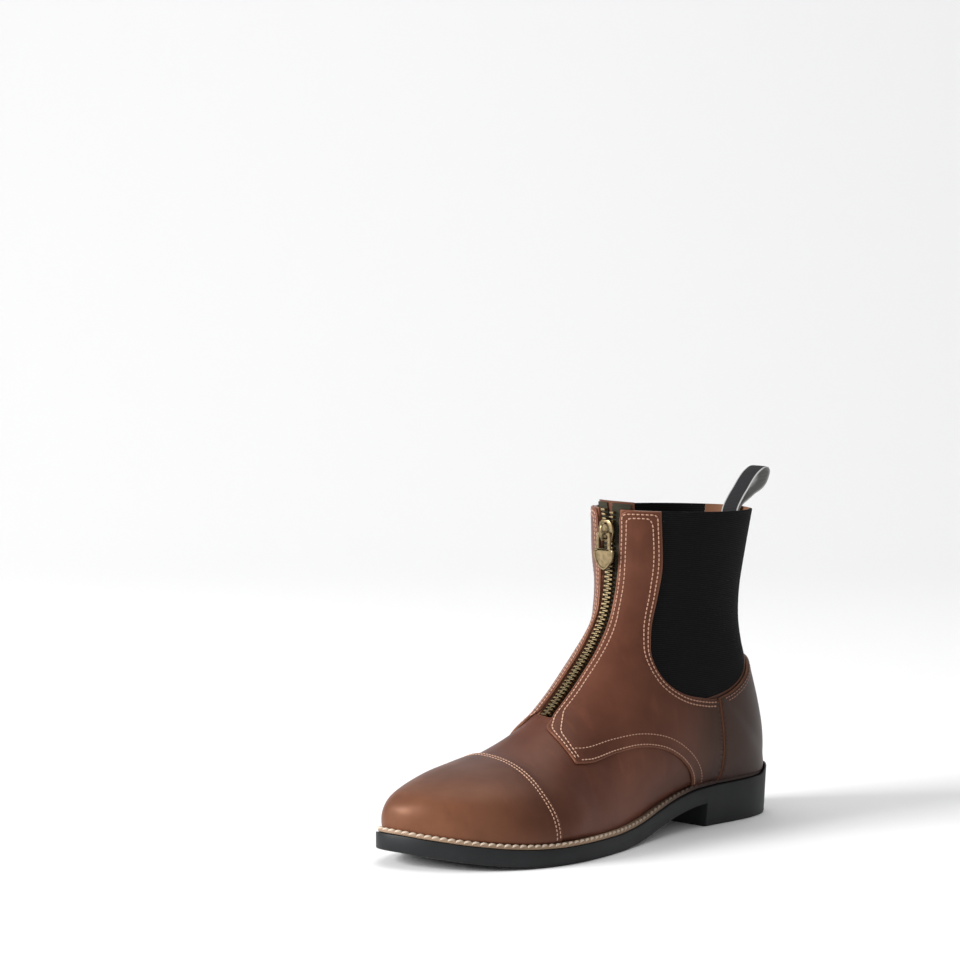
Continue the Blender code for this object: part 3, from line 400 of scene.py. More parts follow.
# Rings of the outsole, from its tread over its rim to its top.
# reach: outwards from the rim; is_top: measured from the top, else from the tread; lift: upwards;
# lip: share of LIP_HEIGHT.
SOLE_RINGS = (
    (-0.0011, False, 0.0, 0),
    (-0.0003, False, 0.0003, 0),
    (0, False, 0.0011, 0),
    (0, True, -0.0007, 1),
    (-0.0002, True, -0.0002, 1),
    (-0.0006, True, 0.0, 1),
    (-0.0010, True, -0.0002, 1),
    (-0.0012, True, 0.0, 0),
)

# Rings of the welt. reach: outwards from its edge, or None for its edge under the upper; lift: upwards.
# Round the foot its edge stands back from the sole's by WELT_SETBACK.
WELT_RINGS = (
    (0.0, GAP + 0.0003),
    (0.0, WELT_TOP - 0.0006),
    (-0.0003, WELT_TOP - 0.0001),
    (-0.0008, WELT_TOP),
    (None, WELT_TOP),
    (None, GAP),
    (-0.0003, GAP),
)
WELT_SETBACK = 0.0012

# Stitches. seams: distances of the rows from their edge; thread: pitch, length and radius of a stitch.
QUARTER_SEAMS = (0.0015, 0.0037)
ARCH_SEAMS = (0.0015, 0.0071)
CAP_SEAMS = (0.0014, 0.0034)
COUNTER_SEAMS = (0.0016, 0.0036)
QUARTER_THREAD = (0.00245, 0.00215, 0.00042)
ARCH_THREAD = (0.0022, 0.0019, 0.00036)
CAP_THREAD = (0.0021, 0.0018, 0.00040)
COUNTER_THREAD = (0.0024, 0.0021, 0.0004)
WELT_THREAD = (0.0043, 0.0044, 0.00095)

# Groove in the leather under a row of stitches: its depth and the width of its Gaussian
GROOVE_DEPTH = 0.00022
GROOVE_WIDTH = 0.0007

# Teeth of the zip: from one to the next, and how far each reaches past the middle
TOOTH_PITCH = 0.00125
TOOTH_REACH = 0.0009

# How much smaller the elastic is than its opening, all round
ELASTIC_TRIM = 0.00004

# How far outlines run on beyond the boot, and the distance that stands for far away
BEYOND = 0.02
FAR = 1.0

# Share of a normal's rise that is kept on the feather line
FEATHER_TILT = 0.15

# Columns of a point's data: its mark on the feather line and the first of its fields
FEATHER_MARK = 6
FIRST_FIELD = 7

# Camera of the photo: yaw and tilt in degrees, lens in millimetres; and the strength of the white world
CAMERA_YAW = 44.78
CAMERA_TILT = 5.479
CAMERA_PLACE = (1.45603, -1.55794, 0.40241)
CAMERA_LENS = 146.19
WORLD_LIGHT = 0.46

# Ends of masks
BLACK = (0, 0, 0)
WHITE = (1, 1, 1)

# Fineness of the shown surface. The cap lies in its rows up to CAP_LAST_ROW, the strips behind the zip
# lie within STRIP_COLUMNS of the ridge.
AROUND = 56
COLUMNS = 2 * AROUND + 1
ROWS = 240
CAP_LAST_ROW = 175
STRIP_COLUMNS = 22
TIP_STEPS = 24
PLATE_ROWS = 120
SECTION_SAMPLES = 120

# How far tape and guard reach below the zip's end, as a share of the front profile
STRIP_UNDERLAP = 0.012

# From the maker's frame to the shared frame
SHIFT = np.array([-0.003891, -0.005281, 0.0])

# Radius of the quarters' corners beside the zip: at its top and at its end
TOP_CORNER = 0.0055
LOW_CORNER = 0.0035

# Soft folds of worn leather, seen from the side: two ends (along, up), width, depth
FOLDS = (
    ((0.470, 0.545), (0.420, 0.500), 0.0050, 0.000250),
    ((0.455, 0.610), (0.405, 0.580), 0.0045, 0.000175),
    ((0.455, 0.700), (0.410, 0.715), 0.0050, 0.000150),
    ((0.560, 0.430), (0.470, 0.400), 0.0070, 0.000200),
    ((0.330, 0.360), (0.250, 0.330), 0.0080, 0.000200),
    ((0.690, 0.260), (0.640, 0.180), 0.0070, 0.000225),
    ((0.720, 0.200), (0.700, 0.120), 0.0055, 0.000150),
)


def hermite(w, h, start, start_slope, end, end_slope):
    """Cubic over a step h, at the share w of it, that leaves start and reaches end with the given slopes."""
    return (
        (2 * w**3 - 3 * w**2 + 1) * start
        + (w**3 - 2 * w**2 + w) * h * start_slope
        + (3 * w**2 - 2 * w**3) * end
        + (w**3 - w**2) * h * end_slope
    )


def smooth_line(points, closed=False, per_span=12):
    """Curve through the points, as closely spaced points: a cubic over each span.

    The slope at a point is the mean of the slopes before and after it, each weighted by the other's step,
    and a step is the root of the distance between two points.
    """
    p = np.asarray(points, float)
    if closed:
        p = np.vstack([p[-2:], p, p[:3]])
    step = np.maximum(np.linalg.norm(np.diff(p, axis=0), axis=1), 1e-9) ** 0.5
    t = np.concatenate([[0.0], np.cumsum(step)])
    slope = np.diff(p, axis=0) / step[:, None]
    tangent = np.empty_like(p)
    weight = (step[1:] / (step[:-1] + step[1:]))[:, None]
    tangent[1:-1] = weight * slope[:-1] + (1 - weight) * slope[1:]
    tangent[0], tangent[-1] = slope[0], slope[-1]
    first, last = (2, len(p) - 3) if closed else (0, len(p) - 1)
    k = np.repeat(np.arange(first, last), per_span)
    w = np.tile(np.arange(per_span) / per_span, last - first)
    if not closed:
        k, w = np.append(k, last - 1), np.append(w, 1.0)
    return hermite(w[:, None], (t[k + 1] - t[k])[:, None], p[k], tangent[k], p[k + 1], tangent[k + 1])


def gone_along(line):
    """Length of a line from its start to each of its points: the running sum of its steps."""
    return np.concatenate([[0.0], np.cumsum(np.linalg.norm(np.diff(line, axis=0), axis=1))])


def length_of(line):
    """Length of a line: the sum of its steps."""
    return np.linalg.norm(np.diff(line, axis=0), axis=1).sum()


def read_off(where, gone, values):
    """Rows of values, known at the lengths gone, read off straight between them at other lengths."""
    return np.stack([np.interp(where, gone, column) for column in values.T], -1)


def at_share(line, share):
    """Points at shares of a line's length."""
    gone = gone_along(line)
    return read_off(np.asarray(share) * gone[-1], gone, line)


def share_at(line, point):
    """Share of a line's length at its point nearest to another."""
    gone = gone_along(line)
    return gone[np.argmin(np.linalg.norm(line - np.asarray(point), axis=1))] / gone[-1]


def blend(x, xs, ys):
    """Smooth values between table rows that never pass beyond them.

    The slope at a row is the harmonic mean of the slopes on its two sides, or 0 where they turn.
    """
    x, xs, ys = (np.asarray(v, float) for v in (x, xs, ys))
    step = np.diff(xs)
    slope = np.diff(ys) / step
    tangent = np.zeros_like(ys)
    both = slope[:-1] * slope[1:] > 0
    total = slope[:-1] + slope[1:]
    tangent[1:-1][both] = 2 * slope[:-1][both] * slope[1:][both] / total[both]
    k = np.clip(np.searchsorted(xs, x, side="right") - 1, 0, len(xs) - 2)
    w = np.clip((x - xs[k]) / step[k], 0.0, 1.0)
    return hermite(w, step[k], ys[k], tangent[k], ys[k + 1], tangent[k + 1])


def offset_line(line, distance, closed):
    """The line moved sideways by a distance, to the right of its direction; one distance or one a point."""
    ahead = np.roll(line, -1, axis=0) - np.roll(line, 1, axis=0)
    if not closed:
        ahead[0], ahead[-1] = line[1] - line[0], line[-1] - line[-2]
    ahead /= np.linalg.norm(ahead, axis=1)[:, None]
    right = np.stack([ahead[:, 1], -ahead[:, 0]], -1)
    return line + right * np.reshape(distance, (-1, 1))


PLATE_STATIONS = HALF * (1 - np.cos(np.linspace(0, math.pi, PLATE_ROWS)))
UNDERSIDE_ALONG = [row[0] * SOLE_LENGTH for row in UNDERSIDE]
UNDERSIDE_LIFT = [row[1] * row[2] for row in UNDERSIDE]


def underside(along):
    """Height of the sole's underside, straight between the plates' stations."""
    lift = blend(PLATE_STATIONS, UNDERSIDE_ALONG, UNDERSIDE_LIFT)
    return np.interp(along, PLATE_STATIONS, lift)


def feather_height(along):
    """Height of the feather line: the sole's underside, its thickness, the welt and the gaps about it."""
    return underside(along) + SOLE_THICKNESS + FEATHER_LIFT


def feather_line():
    """Closed line (x, along) of the feather, from the heel's back along the outer side and back."""
    heel = HEEL_RIM_REACH
    outer = [(row[1] * row[3], heel + row[0] * UPPER_LENGTH) for row in OUTLINE]
    inner = [(-row[2] * row[3], heel + row[0] * UPPER_LENGTH) for row in reversed(OUTLINE)]
    tip = [(TOE_TIP_PLACE * BALL_WIDTH, heel + UPPER_LENGTH)]
    return smooth_line([(0.0, heel)] + outer + tip + inner, closed=True, per_span=10)


def reach_line(heel_reach, toe_reach):
    """The feather line moved outwards, by one reach round the heel and another round the foot."""
    line = feather_line()
    share = blend(line[:, 1] / SOLE_LENGTH, (0.0, 0.15, 0.5, 1.0), (0.0, 0.0, 1.0, 1.0))
    return offset_line(line, heel_reach + (toe_reach - heel_reach) * share, closed=True)


def half_widths(line, along):
    """Place of a closed outline's outer and inner side at distances along the boot."""
    heel, toe = np.argmin(line[:, 1]), np.argmax(line[:, 1])
    turned = np.roll(line, -heel, axis=0)
    toe = (toe - heel) % len(line)
    outer = turned[: toe + 1]
    inner = np.vstack([turned[toe:], turned[:1]])[::-1]
    return np.interp(along, outer[:, 1], outer[:, 0]), np.interp(along, inner[:, 1], inner[:, 0])


def feather_length(line, along, sign):
    """Length of the feather line from the heel's back to a distance along the boot, on one side."""
    part = line[(line[:, 1] <= along) & (sign * line[:, 0] >= 0)]
    return length_of(part[np.argsort(part[:, 1])])


def front_line():
    """Front profile (along, z) from the toe's tip to the collar."""
    tip = HEEL_RIM_REACH + UPPER_LENGTH
    points = [(tip, feather_height(tip))]
    for share, base, rise_share, rise in FRONT:
        along = share * SOLE_LENGTH
        level = feather_height(along) if base is FEATHER else base
        points.append((along, level + rise_share * rise))
    return smooth_line(points)


def back_line():
    """Back profile (along, z) from the feather line to the collar."""
    foot = feather_height(HEEL_RIM_REACH)
    rise = COLLAR_BACK_HEIGHT - foot
    points = [(HEEL_RIM_REACH, foot)]
    points += [(share * SOLE_LENGTH, foot + up * rise) for share, up in BACK]
    return smooth_line(points)


def ease(share):
    """Soft step from 0 to 1."""
    share = np.clip(share, 0.0, 1.0)
    return share * share * (3 - 2 * share)


def column_shares(girth, behind):
    """Places of the columns down a half section, as shares of it from its ridge.

    Behind is the length of feather line that the section leaves behind it at the heel. The columns are
    spaced as if the section ran on over that length, and then crowd together before the feather line.
    """
    ratio = (girth + behind) / girth
    crowd = max(1.0, min(6.0, 0.8 * ratio / max(ratio - 1, 1e-6)))
    place = np.linspace(0, ratio, AROUND + 1)
    return place - (ratio - 1) * (place / ratio) ** crowd


def side_points(table):
    """Side view points (along, z) of a table of shares."""
    return [(along * SOLE_LENGTH, up * COLLAR_BACK_HEIGHT) for along, up in table]


def fine_rows():
    """Section numbers of the fine surface: even steps, a little closer at the toe's tip."""
    tip = np.linspace(0, 2, TIP_STEPS, endpoint=False)
    rest = np.linspace(2, len(FOOT_SECTIONS) + len(SHAFT_SECTIONS) - 1, ROWS - TIP_STEPS)
    return np.concatenate([tip, rest])


def last_surface():
    """The upper's outer face: rows are sections from toe to collar, columns go from inner to outer side.

    Each row is a superellipse in two halves between a low point and a point of the front profile. Low
    down at the heel the half width is blended into the feather outline, which makes the upright wall.
    """
    outline, front, back = feather_line(), front_line(), back_line()
    number = fine_rows()
    foot_table = np.array(FOOT_SECTIONS + ((0.0, SHAFT_SECTIONS[0][1]),)).T
    shaft_table = np.array(SHAFT_SECTIONS).T
    first = len(FOOT_SECTIONS)
    is_foot = number < first
    under_share = np.where(is_foot, blend(number, range(first + 1), foot_table[0]), 0.0)
    every_front = np.concatenate([foot_table[1][:-1], shaft_table[1]])
    front_share = blend(number, range(len(every_front)), every_front)
    back_share = blend(np.maximum(number - first, 0), range(len(shaft_table[0])), shaft_table[0])
    under = HEEL_RIM_REACH + under_share * UPPER_LENGTH
    foot_low = np.stack([under, feather_height(under)], -1)
    low = np.where(is_foot[:, None], foot_low, at_share(back, back_share))
    high = at_share(front, front_share)
    table = np.array([[float(v) for v in row] for row in SHAPES]).T
    ridge, follow, swell = (blend(number, table[0], column) for column in table[1:4])
    girth = [blend(number, table[0], table[k] * table[6]) for k in (4, 5)]
    wide_at, top_outer, top_inner, power = (blend(number, table[0], column) for column in table[7:11])
    angle = np.linspace(0, math.pi / 2, SECTION_SAMPLES)
    rows = []
    for j in range(len(number)):
        edges = half_widths(outline, low[j, 0]) if is_foot[j] else (0.0, 0.0)
        centre = follow[j] * sum(edges) / 2
        sides = (
            (-1.0, centre - edges[1], girth[1][j], top_inner[j]),
            (1.0, edges[0] - centre, girth[0][j], top_outer[j]),
        )
        halves = []
        for sign, edge, own, top in sides:
            reach = follow[j] * swell[j] * edge + (1 - follow[j]) * own
            top_place = (ridge[j] * BALL_WIDTH - centre) * sign
            start = (1 - min(edge / max(reach, 1e-9), 1.0) ** power[j]) ** (1 / power[j])
            lower_q = wide_at[j] * (1 - start * np.cos(angle))
            lower_x = reach * (1 - (start * np.cos(angle)) ** power[j]) ** (1 / power[j])
            upper_q = wide_at[j] + (1 - wide_at[j]) * np.sin(angle)
            upper_x = top_place + (reach - top_place) * (1 - np.sin(angle) ** top) ** (1 / top)
            q = np.concatenate([lower_q[:-1], upper_q])
            q = (q - q[0]) / (1 - q[0])
            x = np.concatenate([lower_x[:-1], upper_x])
            along, z = low[j][:, None] + (high[j] - low[j])[:, None] * q
            from_back = along - np.interp(z, back[:, 1], back[:, 0])
            wall = np.abs(half_widths(outline, HEEL_RIM_REACH + from_back)[0 if sign > 0 else 1])
            share = 1 - ease(from_back / HEEL_WALL_DEPTH)
            share = share * (1 - ease((z - HEEL_FEATHER) / HEEL_WALL_HEIGHT))
            x = centre + sign * (x + share * (wall - x))
            half = np.stack([x, HALF - along, z], -1)[::-1]
            length = length_of(half)
            behind = feather_length(outline, low[j, 0], sign) if is_foot[j] else 0.0
            halves.append(at_share(half, column_shares(max(length, 1e-9), behind)))
        rows.append(np.vstack([halves[0][::-1], halves[1][1:]]))
    rows[0][:] = rows[0].mean(axis=0)
    return np.array(rows)


def smoothed(grid, rounds):
    """The grid with every inner point moved towards the mean of its four neighbours, a few times."""
    out = grid.copy()
    for _ in range(rounds):
        inner = out[1:-1, 1:-1]
        mean = (out[:-2, 1:-1] + out[2:, 1:-1] + out[1:-1, :-2] + out[1:-1, 2:]) / 4
        out[1:-1, 1:-1] = inner + 0.5 * (mean - inner)
    return out


def grid_normals(grid):
    """Outward normals: the cross product of the grid's two central differences.

    They are turned almost level on the feather line, so that a thickness there goes sideways.
    """
    down = np.gradient(grid, axis=0)
    across = np.gradient(grid, axis=1)
    closed = slice(FOOT_LAST, None)
    across[closed, 0] = across[closed, -1] = (grid[closed, 1] - grid[closed, -2]) / 2
    normal = np.cross(across, down)
    normal[0] = (0, -1, 0)
    normal = normal / np.maximum(np.linalg.norm(normal, axis=2, keepdims=True), 1e-12)
    normal[: FOOT_LAST + 1, [0, -1], 2] *= FEATHER_TILT
    return normal / np.maximum(np.linalg.norm(normal, axis=2, keepdims=True), 1e-12)


def side_of(points):
    """Side view coordinates (along, z) of points."""
    return np.stack([HALF - points[..., 1], points[..., 2]], -1)


def segment_distance(points, line):
    """Shortest distance from side view points to an open line."""
    best = np.full(points.shape[:-1], 1.0)
    for a, b in zip(line[:-1], line[1:]):
        step = b - a
        t = np.clip(((points - a) @ step) / (step @ step + 1e-18), 0, 1)
        best = np.minimum(best, np.linalg.norm(points - a - t[..., None] * step, axis=-1))
    return best


def inside(points, outline):
    """True where a point lies in the closed outline: it crosses an odd number of its edges."""
    odd = np.zeros(points.shape[:-1], bool)
    for (xa, ya), (xb, yb) in zip(outline, np.roll(outline, -1, axis=0)):
        if ya == yb:
            continue
        crosses = (points[..., 1] < ya) != (points[..., 1] < yb)
        odd ^= crosses & (points[..., 0] < xa + (points[..., 1] - ya) * (xb - xa) / (yb - ya))
    return odd


def outline_field(points, outline):
    """Signed distance to a closed side view outline, positive inside."""
    loop = np.vstack([outline, outline[:1]])
    return segment_distance(points, loop) * np.where(inside(points, outline), 1.0, -1.0)


def zip_edge(column, z):
    """Half width at height z of one column of the zip's table, straight between its rows."""
    height = [row[0] * COLLAR_FRONT_HEIGHT for row in ZIP_SPREAD]
    return np.interp(z, height, [row[column] * ZIP_OPENING for row in ZIP_SPREAD])


def folds(points):
    """Soft folds of worn leather: each is a Gaussian across a side view line, faded towards its ends."""
    flat = side_of(points)
    total = np.zeros(points.shape[:-1])
    for *ends, width, depth in FOLDS:
        a, b = (np.array(end) for end in side_points(ends))
        step = b - a
        t = ((flat - a) @ step) / (step @ step)
        near = np.linalg.norm(flat - a - np.clip(t, 0, 1)[..., None] * step, axis=-1)
        fade = ease((t + 0.15) / 0.45) * ease((1.15 - t) / 0.45)
        total += depth * np.exp(-((near / width) ** 2)) * fade
    return total


def split(data, faces, column, level, keep_below):
    """Cut triangles along the line where one column of their points' data equals level.

    New points lie on the crossed edges, with all their data mixed in the same share.
    """
    value = data[:, column] - level
    above = value >= 0
    count = above[faces].sum(axis=1)
    kept = [faces[count == 3]]
    if keep_below:
        kept.append(faces[count == 0])
    mixed = faces[(count == 1) | (count == 2)]
    if len(mixed):
        mask = above[mixed]
        single_above = mask.sum(axis=1) == 1
        lone = np.where(single_above, mask.argmax(axis=1), (~mask).argmax(axis=1))
        turned = np.take_along_axis(mixed, (lone[:, None] + np.arange(3)) % 3, axis=1)
        edges = np.sort(np.vstack([turned[:, [0, 1]], turned[:, [0, 2]]]), axis=1)
        unique, back = np.unique(edges, axis=0, return_inverse=True)
        back = back.reshape(-1)
        share = value[unique[:, 0]] / (value[unique[:, 0]] - value[unique[:, 1]])
        share = np.clip(share, 0.02, 0.98)
        extra = data[unique[:, 0]] + (data[unique[:, 1]] - data[unique[:, 0]]) * share[:, None]
        extra[:, column] = level
        new = len(data) + back
        first, second = new[: len(turned)], new[len(turned):]
        data = np.vstack([data, extra])
        lone_face = np.stack([turned[:, 0], first, second], -1)
        pair_a = np.stack([first, turned[:, 1], turned[:, 2]], -1)
        pair_b = np.stack([first, turned[:, 2], second], -1)
        take = single_above if not keep_below else np.ones(len(turned), bool)
        kept.append(lone_face[take])
        take = ~single_above if not keep_below else np.ones(len(turned), bool)
        kept += [pair_a[take], pair_b[take]]
    faces = np.vstack(kept)
    used, back = np.unique(faces, return_inverse=True)
    return data[used], back.reshape(faces.shape)


def grid_faces(rows, columns):
    """Two triangles for each cell of a grid, outward side up."""
    j, i = np.meshgrid(np.arange(rows - 1), np.arange(columns - 1), indexing="ij")
    a = (j * columns + i).ravel()
    b, c, d = a + 1, a + columns + 1, a + columns
    return np.vstack([np.stack([a, b, c], -1), np.stack([a, c, d], -1)])


def new_object(name, points, faces, finish, body="boot", smooth_angle=50, attributes=None):
    """Mesh object from arrays, with its material, slot and body; hard edges where it turns sharply."""
    mesh = bpy.data.meshes.new(name)
    mesh.from_pydata((np.asarray(points) + SHIFT).tolist(), [], np.asarray(faces).tolist())
    work = bmesh.new()
    work.from_mesh(mesh)
    bmesh.ops.recalc_face_normals(work, faces=work.faces)
    work.to_mesh(mesh)
    work.free()
    for key, values in (attributes or {}).items():
        if len(values) == len(mesh.vertices):
            layer = mesh.attributes.new(key, "FLOAT", "POINT")
            layer.data.foreach_set("value", np.asarray(values, np.float32))
    mesh.polygons.foreach_set("use_smooth", np.ones(len(mesh.polygons), bool))
    if smooth_angle:
        mesh.set_sharp_from_angle(angle=math.radians(smooth_angle))
    thing = bpy.data.objects.new(name, mesh)
    bpy.context.collection.objects.link(thing)
    mesh.materials.append(finish)
    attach(thing, body)
    return thing


def boundary(faces):
    """Directed edges that only one triangle uses."""
    edges = np.vstack([faces[:, [0, 1]], faces[:, [1, 2]], faces[:, [2, 0]]])
    key = np.sort(edges, axis=1)
    _, back, count = np.unique(key, axis=0, return_inverse=True, return_counts=True)
    return edges[count[back.reshape(-1)] == 1]


def weld(points, faces, near=2e-6):
    """Points that coincide become one, and faces that collapse are dropped."""
    key = np.round(points / near).astype(np.int64)
    _, keep, back = np.unique(key, axis=0, return_index=True, return_inverse=True)
    return keep, whole(back.reshape(-1)[faces])


def whole(faces):
    """The triangles whose three corners differ."""
    a, b, c = faces.T
    return faces[(a != b) & (b != c) & (c != a)]


def merged(data, faces):
    """Points' data and triangles, with coinciding points made one and unused ones left out."""
    keep, faces = weld(data[:, 0:3], faces)
    used, back = np.unique(faces, return_inverse=True)
    return data[keep][used], back.reshape(faces.shape)


def shell(outer, inner, faces):
    """Closed shell: outer face, inner face turned round, and two triangles for each edge of the rim."""
    count = len(outer)
    a, b = boundary(faces).T
    walls = np.vstack([np.stack([b, a, a + count], -1), np.stack([b, a + count, b + count], -1)])
    return np.vstack([outer, inner]), np.vstack([faces, faces[:, ::-1] + count, walls])


def lifted(data, height):
    """Points of the surface moved along their normals; those on the feather line stay on the welt's level."""
    points = data[:, 0:3] + data[:, 3:6] * np.reshape(height, (-1, 1))
    on_feather = data[:, FEATHER_MARK] > 0.5
    points[on_feather, 2] = feather_height(HALF - points[on_feather, 1])
    return points


def leather_piece(name, fields, low, high, finish, rows=slice(0, ROWS), columns=slice(0, COLUMNS),
                  edge=0.0006, drop=0.0005, groove=()):
    """Closed shell on the last, clipped by fields and rounded down towards its edges.

    fields are signed distances on the surface grid, positive where the leather stays, and the least of
    them is the distance to the edge. The inner face lies at low along the normals. The outer face lies at
    high, less drop times the square of the share of edge that is left, and less a Gaussian groove at each
    distance in groove.
    """
    grid, normal = GRID[rows, columns], NORMAL[rows, columns]
    feather = np.zeros(GRID.shape[:2])
    feather[0] = 1
    feather[: FOOT_LAST + 1, [0, -1]] = 1
    parts = [grid.reshape(-1, 3), normal.reshape(-1, 3), feather[rows, columns].reshape(-1, 1)]
    parts += [field[rows, columns].reshape(-1, 1) for field in fields]
    data = np.hstack([*parts, np.zeros((len(parts[0]), 1))])
    faces = grid_faces(*grid.shape[:2])
    last = data.shape[1] - 1
    for k in range(FIRST_FIELD, last):
        data, faces = split(data, faces, k, 0.0, False)
    data[:, last] = data[:, FIRST_FIELD:last].min(axis=1)
    data, faces = split(data, faces, last, edge, True)
    data[:, last] = data[:, FIRST_FIELD:last].min(axis=1)
    data, faces = merged(data, faces)
    distance = np.clip(data[:, last], 0, None)
    top = high - drop * (1 - np.clip(distance / edge, 0, 1)) ** 2
    for at in groove:
        top = top - GROOVE_DEPTH * np.exp(-(((distance - at) / GROOVE_WIDTH) ** 2))
    points, every = shell(lifted(data, top), lifted(data, low), faces)
    none = np.zeros(len(data))
    marks = {"edge_mm": np.concatenate([distance, none]) * 1000, "under": np.concatenate([none, none + 1])}
    return new_object(name, points, every, finish, attributes=marks)


def cast_from(tree, points, direction):
    """Where rays from points along a direction meet the surface, with normals that face the rays."""
    places, normals = [], []
    direction = Vector(direction)
    for point in points:
        hit, normal, _, _ = tree.ray_cast(Vector(point), direction)
        if hit is not None:
            places.append(hit)
            normals.append(normal if normal.dot(direction) < 0 else -normal)
    return np.array(places).reshape(-1, 3), np.array(normals).reshape(-1, 3)


def side_path(line, side):
    """A side view line (along, z) carried onto the last's outer (side 1) or inner (side -1) face."""
    points = np.stack([np.full(len(line), side * 0.12), HALF - line[:, 0], line[:, 1]], -1)
    return cast_from(TREE, points, (-side, 0, 0))


def front_path(line):
    """A front view line (x, z) carried onto the last's front."""
    points = np.stack([line[:, 0], np.full(len(line), -0.3), line[:, 1]], -1)
    return cast_from(TREE, points, (0, 1, 0))


def join_paths(*paths):
    """Several paths, each places and normals, as one."""
    return np.vstack([p[0] for p in paths]), np.vstack([p[1] for p in paths])


def ring_faces(count, size, closed=False):
    """Two triangles for each cell between neighbouring rings of points, the last to the first if closed."""
    j, k = np.meshgrid(np.arange(count if closed else count - 1), np.arange(size), indexing="ij")
    low, high = j * size, (j + 1) % count * size
    n = (k + 1) % size
    return np.stack([low + k, low + n, high + n, low + k, high + n, high + k], -1).reshape(-1, 3)


def stitch_row(path, lift, pitch, length, radius, flat=0.75, slant=0.0):
    """Points and faces of a row of stitches, one each pitch along the path, turned by slant in radians.

    A stitch is five hexagons along it, its middle the widest, flattened by flat and sunk at both ends.
    """
    places, normals = path
    keep = np.concatenate([[True], np.linalg.norm(np.diff(places, axis=0), axis=1) > 1e-6])
    places, normals = places[keep], normals[keep]
    gone = gone_along(places)
    at = np.arange(pitch / 2, gone[-1] - pitch / 2, pitch)
    centre = read_off(at, gone, places)
    out = read_off(at, gone, normals)
    out /= np.linalg.norm(out, axis=1, keepdims=True)
    along = read_off(at + pitch / 3, gone, places) - read_off(at - pitch / 3, gone, places)
    along -= (along * out).sum(axis=1, keepdims=True) * out
    along /= np.maximum(np.linalg.norm(along, axis=1, keepdims=True), 1e-9)
    across = np.cross(out, along)
    along, across = (along * math.cos(slant) + across * math.sin(slant),
                     across * math.cos(slant) - along * math.sin(slant))
    turn = np.arange(6) * math.pi / 3
    stations = ((-0.5, 0.25, -0.9), (-0.38, 0.8, -0.25), (0.0, 1.0, 0.0), (0.38, 0.8, -0.25),
                (0.5, 0.25, -0.9))
    template = np.array([
        (s * length, radius * w * math.cos(a), flat * radius * w * math.sin(a) + sink * radius)
        for s, w, sink in stations for a in turn
    ])
    body = (
        centre[:, None] + out[:, None] * lift
        + along[:, None] * template[None, :, 0:1]
        + across[:, None] * template[None, :, 1:2]
        + out[:, None] * template[None, :, 2:3]
    )
    ends = [(0, k + 1, k) for k in range(1, 5)] + [(24, 24 + k, 25 + k) for k in range(1, 5)]
    faces = np.vstack([ring_faces(len(stations), len(turn)), ends])[:, ::-1]
    steps = np.arange(len(at))[:, None, None] * len(template)
    return body.reshape(-1, 3), (faces[None] + steps).reshape(-1, 3)


def stitches(name, rows, finish):
    """One object from several stitch rows."""
    points, faces = joined([stitch_row(*row) for row in rows])
    thing = new_object(name, points, faces, finish, smooth_angle=0)


def level_path(field, level, columns, from_collar=False):
    """Where each given column of the surface crosses a level of a field, with its normals.

    It is the crossing nearest to the toe, or to the collar, straight between two rows.
    """
    columns = np.array(columns)
    value = field[:, columns] - level
    crosses = value[:-1] * value[1:] < 0
    row = crosses.argmax(axis=0)
    if from_collar:
        row = len(crosses) - 1 - crosses[::-1].argmax(axis=0)
    found = crosses.any(axis=0)
    row, columns, value = row[found], columns[found], value[:, found]
    k = np.arange(len(row))
    t = (value[row, k] / (value[row, k] - value[row + 1, k]))[:, None]
    return tuple(part[row, columns] * (1 - t) + part[row + 1, columns] * t for part in (GRID, NORMAL))


def ring_stack(rings, closed=False):
    """Points and triangles of rings of equal count joined one to the next.

    Open stacks get a fan over each end ring; closed ones join the last ring to the first.
    """
    rings = np.array(rings)
    count, size = rings.shape[:2]
    points = rings.reshape(-1, 3)
    faces = ring_faces(count, size, closed)
    if closed:
        return points, faces
    k = np.arange(size)
    n = (k + 1) % size
    last = len(points) - size
    first_fan = np.stack([k, n, np.full(size, len(points))], -1)
    last_fan = np.stack([last + k, last + n, np.full(size, len(points) + 1)], -1)
    points = np.vstack([points, rings[0].mean(axis=0), rings[-1].mean(axis=0)])
    return points, np.vstack([faces, first_fan, last_fan])


def joined(parts):
    """Several point and triangle arrays as one."""
    starts = np.cumsum([0] + [len(points) for points, _ in parts])
    faces = [faces + start for (_, faces), start in zip(parts, starts)]
    return np.vstack([points for points, _ in parts]), np.vstack(faces)


def ring_at(frame_of, line, level):
    """A flat line (across, up) placed in a frame, at a level outwards."""
    place, across, up, out = (np.array(v, float) for v in frame_of)
    return place + line[:, :1] * across + line[:, 1:] * up + level * out


def solid(outline, frame_of, low, high, bevel):
    """Flat solid of a convex outline (across, up): rings at rising levels, drawn in at both faces."""
    line = np.asarray(outline, float)
    area = np.sum(line[:, 0] * np.roll(line[:, 1], -1) - line[:, 1] * np.roll(line[:, 0], -1))
    if area > 0:
        line = line[::-1]
    third = bevel * 0.3
    steps = ((bevel, low), (0, low + bevel), (0, high - bevel), (third, high - third), (bevel, high))
    return ring_stack([ring_at(frame_of, offset_line(line, inset, True), level) for inset, level in steps])


def round_bar(path, across, out, half_width, half_height, closed=True):
    """Bar with rounded corners along a path: at each point its section spans two given directions."""
    u, v = BAR_CORNERS[:, :1], BAR_CORNERS[:, 1:]
    rings = path[:, None] + across[:, None] * half_width * u + out[:, None] * half_height * v
    return ring_stack(rings, closed)


